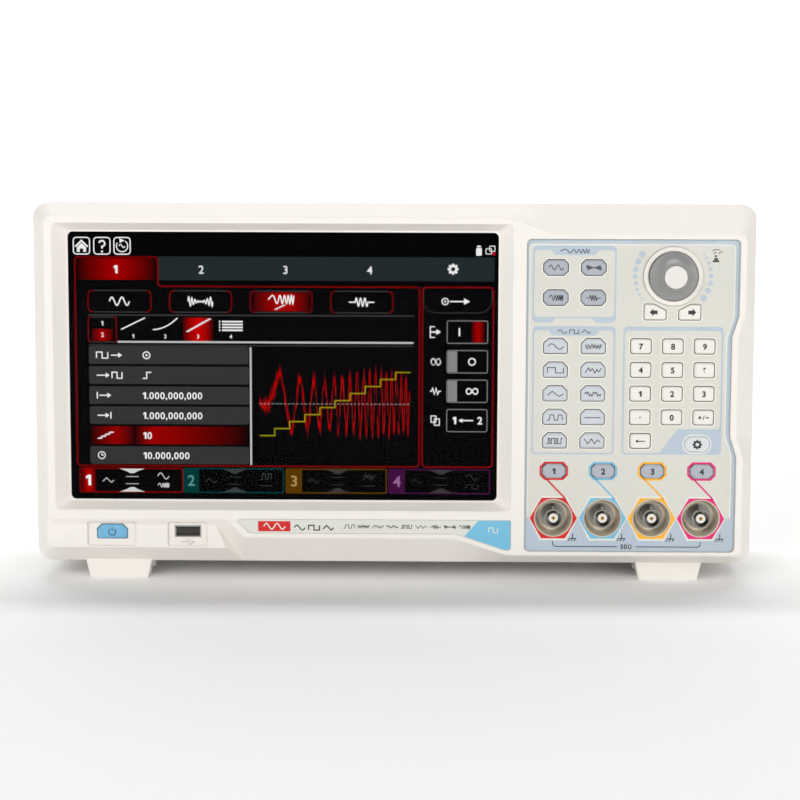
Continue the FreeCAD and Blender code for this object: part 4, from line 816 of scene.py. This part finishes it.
def name_strip():
    """The plain printed strip in its recess under the screen, with no words."""
    corners = [(-80.8, 33.05), (-73.7, 26.05), (32.4, 26.05), (57.3, 17.75), (60.45, 17.75), (60.45, 33.05)]
    radii = [0.5, 0.9, 2.5, 0.8, 1.2, 0.8]
    rings = []
    for back, amount in ((0.22, 0.12), (0.28, 0.0), (0.58, 0.0)):
        ring = rounded(corners, radii)
        rings.append([((x + (amount if x < 0 else -amount)) * MM, FACE + back * MM, z * MM) for x, z in ring])
    lofted("name_strip", rings, M["strip"], "chassis")
    y = FACE + 0.2 * MM
    Layer(y).area(rounded([(36.6, 24.75), (57.3, 17.85), (60.35, 17.85), (60.35, 32.95), (43.9, 32.95)],
                          [0.1, 0.7, 1.1, 0.7, 0.1])).build("strip_blue_patch", M["ink_sky"],
                                              slot="overlay_film")
    Layer(y).area(rect(-69.4, -52.7, 26.9, 32.2, 0.3)).build("strip_red_mark", M["ink_red"],
                        slot="overlay_film")
    Layer(y - 0.02 * MM).line(moved(wave("sine", 11.0, 3.0, 4), -61.0, 29.5), 0.6).line(
        moved(wave("square", 4.5, 2.4), 51.5, 28.0), 0.45).build("strip_white_trace", M["ink_light"],
                            slot="overlay_film")
    dark = Layer(y)
    for k, kind in enumerate(("sine", "square", "ramp")):
        dark.line(moved(wave(kind, 5.6, 2.5), -48.0 + 7.4 * k, 28.9), 0.62)
    for k, kind in enumerate(("pulse", "noise", "arb", "harmonic", "prbs", "user", "burst", "modulate",
                        "sweep")):
        dark.line(moved(wave(kind, 6.0, 1.7), -22.5 + 7.4 * k, 29.6), 0.34)
    print_on(dark, "strip_traces", "ink_black")


# --- what the display shows -------------------------------------------------------------------

GLASS_LAP = 3.8 * MM     # the glass behind the bezel's lip
RASTER_WIDE, RASTER_HIGH = 1280, 800


def screen_place(u, v):
    """Metres from the display's own raster, whose origin is at its top left."""
    left, right = GLASS_LOW.x + GLASS_LAP, GLASS_HIGH.x - GLASS_LAP
    low, high = GLASS_LOW.z + GLASS_LAP, GLASS_HIGH.z - GLASS_LAP
    return left + (right - left) * u / RASTER_WIDE, high - (high - low) * v / RASTER_HIGH


def screen_x(u):
    return screen_place(u, 0)[0]


def panel(depth):
    """A layer of the page: a higher number lies further forward."""
    return Layer(GLASS_HIGH.y - (0.1 + 0.04 * depth) * MM, screen_place)


def box_of(left, top, right, bottom, radius=0.0):
    return rect(left, right, top, bottom, radius) if radius else [(left, top), (right, top), (right, bottom),
                        (left, bottom)]


def outline_box(layer, left, top, right, bottom, radius, width):
    """A thin frame on the raster."""
    layer.area(box_of(left, top, right, bottom, radius),
               box_of(left + width, top + width, right - width, bottom - width, max(0.5, radius - width)))


def sign(points, u, v):
    """A trace drawn with up as up, moved to a place on the raster."""
    return [(u + x, v - z) for x, z in points]


def show(layer, name, material):
    """Puts a layer of lit shapes on the display."""
    return layer.build(name, material, slot="display_black")


ROW_STEP = 60.3          # rows of the parameter list
SWITCH_STEP = 88.4       # switches down the right side
CHANNEL_STEP = 310       # channel boxes along the bottom
MODES = ((56, 244), (300, 485), (541, 725), (781, 966))    # left and right of the mode buttons
TYPE_TAB = (56, 140)


def display():
    """The page that the display shows, in layers from its black background forwards."""
    red, dark = srgb(160, 0, 0), srgb(6, 1, 1)
    background = panel(0)
    background.area(box_of(-20, -20, 1300, 820))
    show(background, "screen_background", glow("screen_black", srgb(5, 5, 6), 1.0, 0.3))

    slate = panel(1).area(box_of(266, 73, 1268, 144))
    show(slate, "screen_tabs", glow("screen_slate", srgb(33, 42, 45)))
    rows = panel(1)
    for k in (0, 1, 2, 3, 5):
        rows.area(box_of(56, 341 + ROW_STEP * k, 535, 394.5 + ROW_STEP * k, 7))
    show(rows, "screen_rows", glow("screen_grey", srgb(52, 52, 52)))

    bars = (("tab", 22, 80, 262, 143, [(0.0, dark), (0.5, red), (1.0, dark)]),
            ("mode", 546, 179, 721, 235, [(0.0, dark), (0.45, red), (0.62, red), (1.0, dark)]),
            ("type", 64, 290, 131, 325, [(0.0, dark), (0.5, red), (1.0, dark)]),
            ("steps", 337, 255, 430, 326, [(0.0, dark), (0.45, srgb(190, 0, 0)), (0.6, srgb(190, 0, 0)),
                                (1.0, dark)]),
            ("row", 56, 582, 535, 636, [(0.0, dark), (0.17, srgb(140, 0, 0)), (0.28, dark),
                                (0.4, srgb(150, 0, 0)),
                                        (0.75, srgb(90, 0, 0)), (1.0, dark)]),
            ("on", 1200, 264, 1241, 326, [(0.0, dark), (0.5, red), (1.0, dark)]),
            ("one", 28, 711, 74, 779, [(0.0, dark), (0.5, srgb(180, 0, 0)), (1.0, dark)]))
    for name, left, top, right, bottom, stops in bars:
        bar = panel(2).area(box_of(left, top, right, bottom, 4))
        show(bar, "screen_bar_" + name, fade("screen_fade_" + name, screen_x(left), screen_x(right), stops))

    frame_red = panel(3)
    window = rounded([(18, 75), (265, 75), (265, 162), (1046, 162), (1046, 701), (18, 701)],
                     [10, 10, 12, 12, 12, 12])
    frame_red.line(window, 4.5, True)
    frame_red.line(box_of(1055, 162, 1266, 701, 12), 4.5, True)
    for left, right in (*MODES, TYPE_TAB):
        top, bottom, radius = (254, 329, 9) if (left, right) == TYPE_TAB else (175, 239, 15)
        for side, x, level in ((1, left, 180), (-1, right, 360)):
            upper = arc(x + side * radius, top + radius, radius, 270, level, 7)
            lower = arc(x + side * radius, bottom - radius, radius, level % 360, 90, 7)
            frame_red.line(upper + lower, 3.2)
    outline_box(frame_red, 23, 707, 336, 783, 6, 4)
    show(frame_red, "screen_red_frames", glow("screen_frame_red", srgb(118, 2, 2)))

    dim = panel(3)
    for left, right in MODES:
        for v in (175, 239):
            dim.line([(left + 15, v), (right - 15, v)], 3)
    dim.line([(65, 254), (131, 254)], 3).line([(65, 329), (131, 329)], 3)
    dim.line([(56, 248), (1030, 248)], 4).line([(56, 338), (1030, 338)], 3)
    tab = arc(1097, 198, 40, 180, 90, 10) + arc(1222, 198, 40, 90, 0, 10)
    dim.line([(1057, 170)] + tab + [(1262, 170)], 2.5)
    show(dim, "screen_dim_lines", glow("screen_dim", srgb(56, 54, 56)))

    grey = panel(3)
    for k in range(4):
        outline_box(grey, 1127, 260 + SWITCH_STEP * k, 1251, 330 + SWITCH_STEP * k, 8, 3)
    show(grey, "screen_switches", glow("screen_switch_grey", srgb(120, 120, 120)))
    blocks = panel(3)
    for k in (1, 2):
        blocks.area(box_of(1131, 264 + SWITCH_STEP * k, 1159, 326 + SWITCH_STEP * k))
    show(blocks, "screen_switch_blocks", glow("screen_block_grey", srgb(134, 134, 134)))

    pale = panel(3)
    pale.area(box_of(143, 325, 1028, 331)).area(box_of(538, 343, 544, 697))
    show(pale, "screen_pale_lines", glow("screen_pale", srgb(186, 186, 186)))

    plot()
    channels()
    icons()


def plot():
    """A rising sweep with its steps and centre line."""
    rng = random.Random(7)
    red = panel(4)
    trace = []
    for k in range(900):
        t = k / 899
        swing = 90 * min(1.0, t * 8) * (0.9 + 0.1 * math.sin(9 * t + 1))
        angle = 2 * math.pi * (0.36 * t + 16.8 * t * t) - 0.51
        trace.append((567 + 450 * t, 512 - swing * math.sin(angle) + rng.uniform(-44, 44) * rng.random()))
    red.line(trace, 1.9)
    show(red, "screen_sweep_trace", glow("screen_trace_red", srgb(196, 0, 0), 1.0, 0.35))
    steps = []
    for k in range(10):
        steps += [(567 + 45.3 * k, 608 - 21.3 * k), (567 + 45.3 * (k + 1), 608 - 21.3 * k)]
    stairs = panel(5).line(steps, 3.2)
    show(stairs, "screen_step_trace", glow("screen_trace_yellow", srgb(150, 150, 0)))
    dashes = panel(5)
    for k in range(37):
        dashes.area(box_of(567 + 12.3 * k, 510.5, 573.5 + 12.3 * k, 513.5))
    show(dashes, "screen_centre_line", glow("screen_dash", srgb(120, 136, 136)))


def channels():
    """The four channel boxes along the bottom."""
    shades = ((None, (206, 210, 210)), ((0, 54, 52), (52, 58, 58)), ((84, 52, 0), (56, 54, 50)),
              ((62, 14, 60), (54, 50, 54)))
    for k, (tone, ink) in enumerate(shades):
        left = 24 + CHANNEL_STEP * k
        if tone:
            frame_line = panel(3)
            outline_box(frame_line, left, 707, left + 306, 783, 6, 4)
            frame_line.area(box_of(left + 2, 709, left + 50, 781))
            show(frame_line, f"screen_channel_{k + 1}", glow(f"screen_tone_{k + 1}", srgb(*tone)))
        digit = panel(5).text(str(k + 1), left + 26, 0, 32, 0.02)
        flip_rows(digit, 745)
        digit.build(f"screen_digit_{k + 1}", glow(f"screen_digit_ink_{k + 1}",
                            srgb(240, 240, 240) if k == 0 else
                    srgb(*(min(255, c + 84) for c in tone))), slot="display_black")
        marks = panel(5)
        x = left + 158
        marks.area([(x - 38, 710), (x + 38, 710), (x + 16, 718), (x + 6, 724), (x - 6, 724), (x - 16, 718)])
        marks.area([(x - 38, 780), (x + 38, 780), (x + 16, 772), (x + 6, 766), (x - 6, 766), (x - 16, 772)])
        for v in (734, 756):
            for j in range(5):
                marks.area(box_of(x - 19 + 8 * j, v - 1.2, x - 13 + 8 * j, v + 1.2))
        kind = ("sine", "pulse", "arb", "sine")[k]
        marks.line(sign(wave(kind, 34, 18), left + 252, 732), 2.6)
        small = ("sweep", "dc", "dc", "square")[k]
        marks.line(sign(wave(small, 34, 12), left + 252, 760), 2.2)
        marks.line(sign(wave("ramp", 34, 14), left + 86, 745), 2.2)
        show(marks, f"screen_channel_marks_{k + 1}", glow(f"screen_mark_{k + 1}", srgb(*ink)))


def flip_rows(layer, v):
    """Turns text over about its row, because it is laid out with up as up and the raster's rows count down."""
    middle = screen_place(0, v)[1]
    zero = screen_place(0, 0)[1]
    layer.points = [(x, y, middle - (z - zero)) for x, y, z in layer.points]
    layer.faces = [face[::-1] for face in layer.faces]


def write(layer, words, u, v, height, align=0.5, bold=0.014):
    part = panel(5).text(words, u, 0, height, bold, align)
    flip_rows(part, v)
    start = len(layer.points)
    layer.points += [(x, layer.y, z) for x, _, z in part.points]
    layer.faces += [[start + i for i in face] for face in part.faces]


def arrow(layer, start, end, v, width):
    """An arrow pointing right, its head just past the end of its shaft."""
    layer.line([(start, v), (end, v)], width).area([(end - 2, v - 8), (end + 10, v), (end - 2, v + 8)])


def icons():
    """White digits, signs and small traces, standing where a real page has its words."""
    white = panel(5)
    for left in (13, 74, 134):
        outline_box(white, left, 16, left + 52, 69, 11, 3.6)
    # home, help, repeat
    white.area([(39, 24), (60, 44), (56, 47), (39, 31), (22, 47), (18, 44)])
    white.area([(39, 34), (53, 47), (53, 61), (44, 61), (44, 51), (34, 51), (34, 61), (25, 61), (25, 47)])
    white.line(arc(100, 36, 8.5, 190, 450, 16) + [(100, 51)], 5).area(circle(100, 59.5, 3.2, 16))
    white.line(arc(160, 43, 17, -55, 215, 22), 3.4).area([(152, 20), (168, 27), (153, 34)])
    white.line(sign(wave("sine", 18, 10), 160, 43), 3)
    # tabs
    write(white, "1", 140, 112, 24, bold=0.03)
    for number, u in (("2", 395), ("3", 646), ("4", 897)):
        write(white, number, u, 112, 24, bold=0.01)
    gear(white, 1145, 108, 17)
    # modes
    white.line(sign(wave("sine", 60, 24, 4), 150, 207), 4)
    white.line(sign(wave("modulate", 74, 28), 392, 207), 3.4)
    white.line(sign(wave("sweep", 78, 24), 633, 200), 3.8)
    white.line([(613, 229), (621, 229), (621, 225), (629, 225), (629, 221), (637, 221), (637, 217),
                (646, 217)], 2.6)
    white.line(sign(wave("burst", 76, 24), 873, 207), 3.8)
    white.area(circle(1122, 204, 11, 24), circle(1122, 204, 7.5, 24)[::-1]).area(circle(1122, 204, 3, 16))
    white.line([(1136, 204), (1180, 204)], 4).area([(1178, 194), (1196, 204), (1178, 214)])
    # switches
    white.line([(1165, 283), (1165, 307)], 5)
    white.area(circle(1203, 383.5, 12, 28), circle(1203, 383.5, 8, 28)[::-1])
    loop = [(1204 + 17 * math.cos(a) / (1 + math.sin(a) ** 2),
             472 + 24 * math.sin(a) * math.cos(a) / (1 + math.sin(a) ** 2))
            for a in (2 * math.pi * k / 48 for k in range(48))]
    white.line(loop, 4, True)
    write(white, "1", 1152, 560, 22, bold=0.025)
    write(white, "2", 1228, 560, 22, bold=0.025)
    white.line([(1172, 560), (1208, 560)], 4).area([(1164, 560), (1176, 553), (1176, 567)])
    white.line([(1080, 295), (1098, 295)], 4).area([(1096, 286), (1110, 295), (1096, 304)]).line(
        [(1092, 279), (1078, 279), (1078, 311), (1092, 311)], 3.2)
    white.line(sign(wave("sine", 30, 20), 1095, 384), 3.4).line(sign(wave("sine", 30, -20), 1095, 384), 2.2)
    white.line([(1078, 472), (1083, 472), (1086, 463), (1091, 481), (1096, 463), (1101, 481), (1105, 472),
                (1111, 472)], 3.2)
    outline_box(white, 1080, 545, 1098, 567, 2, 3)
    outline_box(white, 1090, 554, 1108, 576, 2, 3)
    # status
    white.area(box_of(1213, 45, 1230, 68, 3)).area(box_of(1216, 38, 1227, 43))
    outline_box(white, 1252, 38, 1270, 56, 3, 2.5)
    outline_box(white, 1241, 46, 1260, 64, 3, 2.5)
    # sweep types
    white.line([(154, 291), (226, 256)], 3.6)
    white.line([(249 + 74 * t, 291 - 35 * t * t) for t in (k / 12 for k in range(13))], 3.6)
    stairs = []
    for k in range(9):
        stairs += [(349 + 8.2 * k, 296 - 4.6 * k), (349 + 8.2 * (k + 1), 296 - 4.6 * k)]
    white.line(stairs, 3.2)
    for k in range(4):
        white.area(box_of(456, 264 + 8.6 * k, 518, 269 + 8.6 * k)).area(box_of(447, 264 + 8.6 * k, 451,
                            269 + 8.6 * k))
    for u, number in ((190, "1"), (286, "2"), (384, "3"), (482, "4")):
        write(white, number, u, 311, 12)
    write(white, "1", 98, 273, 13)
    write(white, "2", 98, 307, 13)
    # parameter rows
    values = (None, None, "1.000,000,000", "1.000,000,000", "10", "10.000,000")
    for k, words in enumerate(values):
        if words:
            write(white, words, 217, 368.5 + ROW_STEP * k, 20, align=0.0, bold=0.02)
    v = 368
    white.line(sign(wave("square", 34, 18), 96, v), 3.6)
    arrow(white, 122, 146, v, 3.4)
    white.area(circle(229, v, 12, 28), circle(229, v, 8.4, 28)[::-1]).area(circle(229, v, 3.4, 16))
    v += ROW_STEP
    arrow(white, 79, 108, v, 3.4)
    white.line(sign(wave("square", 30, 18), 140, v), 3.6)
    white.line([(217, v + 9), (229, v + 9), (229, v - 9), (243, v - 9)], 3.8)
    v += ROW_STEP
    white.line([(80, v - 10), (80, v + 10)], 4)
    arrow(white, 86, 112, v, 3.6)
    v += ROW_STEP
    arrow(white, 80, 106, v, 3.6)
    white.line([(120, v - 10), (120, v + 10)], 4)
    v += ROW_STEP
    white.line([(79, v + 9), (91, v + 9), (91, v + 3), (103, v + 3), (103, v - 3), (115, v - 3), (115, v - 9),
                (128, v - 9)], 3.6)
    v += ROW_STEP
    white.area(circle(91, v, 12, 28), circle(91, v, 9, 28)[::-1]).line([(91, v - 7), (91, v), (97, v)], 3)
    show(white, "screen_white_marks", glow("screen_white", srgb(236, 236, 236)))
    alert = panel(6).line([(1262, 58), (1270, 66)], 3).line([(1270, 58), (1262, 66)], 3)
    show(alert, "screen_status_mark", glow("screen_status_red", srgb(220, 0, 40)))


# --- small parts on the bezel -----------------------------------------------------------------

def usb_dressing():
    """The USB jack's dark tongue with its contacts, and a raised two-way arrow below it."""
    low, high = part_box("usb_port")
    x, z = (low.x + high.x) / 2 / MM, (low.z + high.z) / 2 / MM
    front = low.y / MM
    tongue = [[((x + px) * MM, (front + back) * MM, (z + pz) * MM) for px,
               pz in rect(-5.55, 5.55, 0.05, 1.95, 0.15)]
              for back in (0.85, 15.0)]
    lofted("usb_tongue", tongue, M["black"], "chassis")
    for k in range(4):
        cx = x - 3.75 + 2.5 * k
        rings = [[((cx + px) * MM, (front + back) * MM, (z + pz) * MM) for px,
                  pz in rect(-0.5, 0.5, -0.12, 0.1, 0.03)]
                 for back in (1.6, 11.0)]
        lofted(f"usb_contact_{k + 1}", rings, M["gold"], "chassis")
    y = FACE + (3.0 - 0.12) * MM
    mark = Layer(y)
    mark.line([(x - 2.9, 20.7), (x + 2.6, 20.7)], 0.26).area([(x - 3.6, 20.7), (x - 2.6, 21.2),
                        (x - 2.6, 20.2)])
    mark.line([(x - 1.6, 20.7), (x - 0.6, 21.8), (x + 0.8, 21.8)], 0.26).area(circle(x + 1.0, 21.8, 0.42, 16))
    mark.line([(x - 0.4, 20.7), (x + 0.6, 19.6), (x + 1.6, 19.6)],
              0.26).area(rect(x + 1.5, x + 2.2, 19.25, 19.95))
    mark.area(circle(x + 2.8, 20.7, 0.55, 18))
    mark.build("usb_mark", finish("mark_beige", srgb(196, 188, 176), 0.5, vary=0.05), slot="bezel_plastic")


def room():
    """Pale floor that sweeps up behind, soft light and the camera."""
    mesh = bpy.data.meshes.new("floor")
    rows = [(-6.0, 0.0)] + [(2.6 + 1.4 * math.sin(a), 1.4 - 1.4 * math.cos(a)) for a in
                            (math.radians(90 * k / 16) for k in range(17))] + [(4.0, 5.0)]
    points = [(x, y, z) for y, z in rows for x in (-7.0, 7.0)]
    faces = [(2 * k, 2 * k + 1, 2 * k + 3, 2 * k + 2) for k in range(len(rows) - 1)]
    mesh.from_pydata(points, [], faces)
    for polygon in mesh.polygons:
        polygon.use_smooth = True
    paper = finish("floor_white", (0.96, 0.96, 0.96, 1.0), 0.9, vary=0.008, patch=2.0, grain=60.0, bump=0.02)
    mesh.materials.append(paper)
    floor = bpy.data.objects.new("floor", mesh)
    bpy.context.scene.collection.objects.link(floor)

    world = bpy.data.worlds.new("studio")
    world.use_nodes = True
    world.node_tree.nodes["Background"].inputs["Color"].default_value = (1.0, 0.99, 0.975, 1.0)
    world.node_tree.nodes["Background"].inputs["Strength"].default_value = 0.26
    bpy.context.scene.world = world
    for name, place, aim, wide, deep, power in (
            ("key_light", (-1.1, -2.2, 1.1), (0, 0, 0.1), 1.3, 1.0, 26.5),
            ("fill_light", (1.4, -2.4, 0.5), (0, 0, 0.1), 1.3, 1.0, 19.0),
            ("side_left", (-2.0, -0.5, 0.5), (0, 0, 0.1), 0.8, 1.0, 4.0),
            ("side_right", (2.0, -0.5, 0.5), (0, 0, 0.1), 0.8, 1.0, 5.0),
            ("top_light", (0.0, 0.52, 1.9), (0, 0, 0.0), 1.5, 0.3, 15.0),
            ("back_light", (0.0, 2.4, 3.0), (0, 4.0, 1.5), 6.0, 0.8, 170.0)):
        data = bpy.data.lights.new(name, "AREA")
        data.shape = "RECTANGLE"
        data.size = wide
        data.size_y = deep
        data.energy = power
        light = bpy.data.objects.new(name, data)
        bpy.context.scene.collection.objects.link(light)
        light.location = place
        light.rotation_mode = "QUATERNION"
        light.rotation_quaternion = (Vector(aim) - Vector(place)).to_track_quat("-Z", "Y")

    turn = (Matrix.Rotation(0.01074, 3, "Z") @ Matrix.Rotation(-0.11466, 3, "X") @ Matrix.Rotation(-0.00331,
                        3, "Y"))
    right, ahead, up = turn.col[0], turn.col[1], turn.col[2]
    data = bpy.data.cameras.new("camera")
    data.sensor_width = 36.0
    data.lens = 88.79
    data.clip_start = 0.05
    camera = bpy.data.objects.new("camera", data)
    bpy.context.scene.collection.objects.link(camera)
    rotation = Matrix((right, up, -ahead)).transposed()
    camera.matrix_world = Matrix.Translation((0.01415, -1.0510, 0.21041)) @ rotation.to_4x4()
    bpy.context.scene.camera = camera
    bpy.context.scene.view_settings.view_transform = "Standard"


for node, key in DRESS.items():
    dress(NODES[node], M[key])
for node, (style, key) in STYLE.items():
    dress(NODES[node], M[key])
    key_cap(node, style, key)
key_frames()
legends()
prints()
name_strip()
display()
usb_dressing()
room()
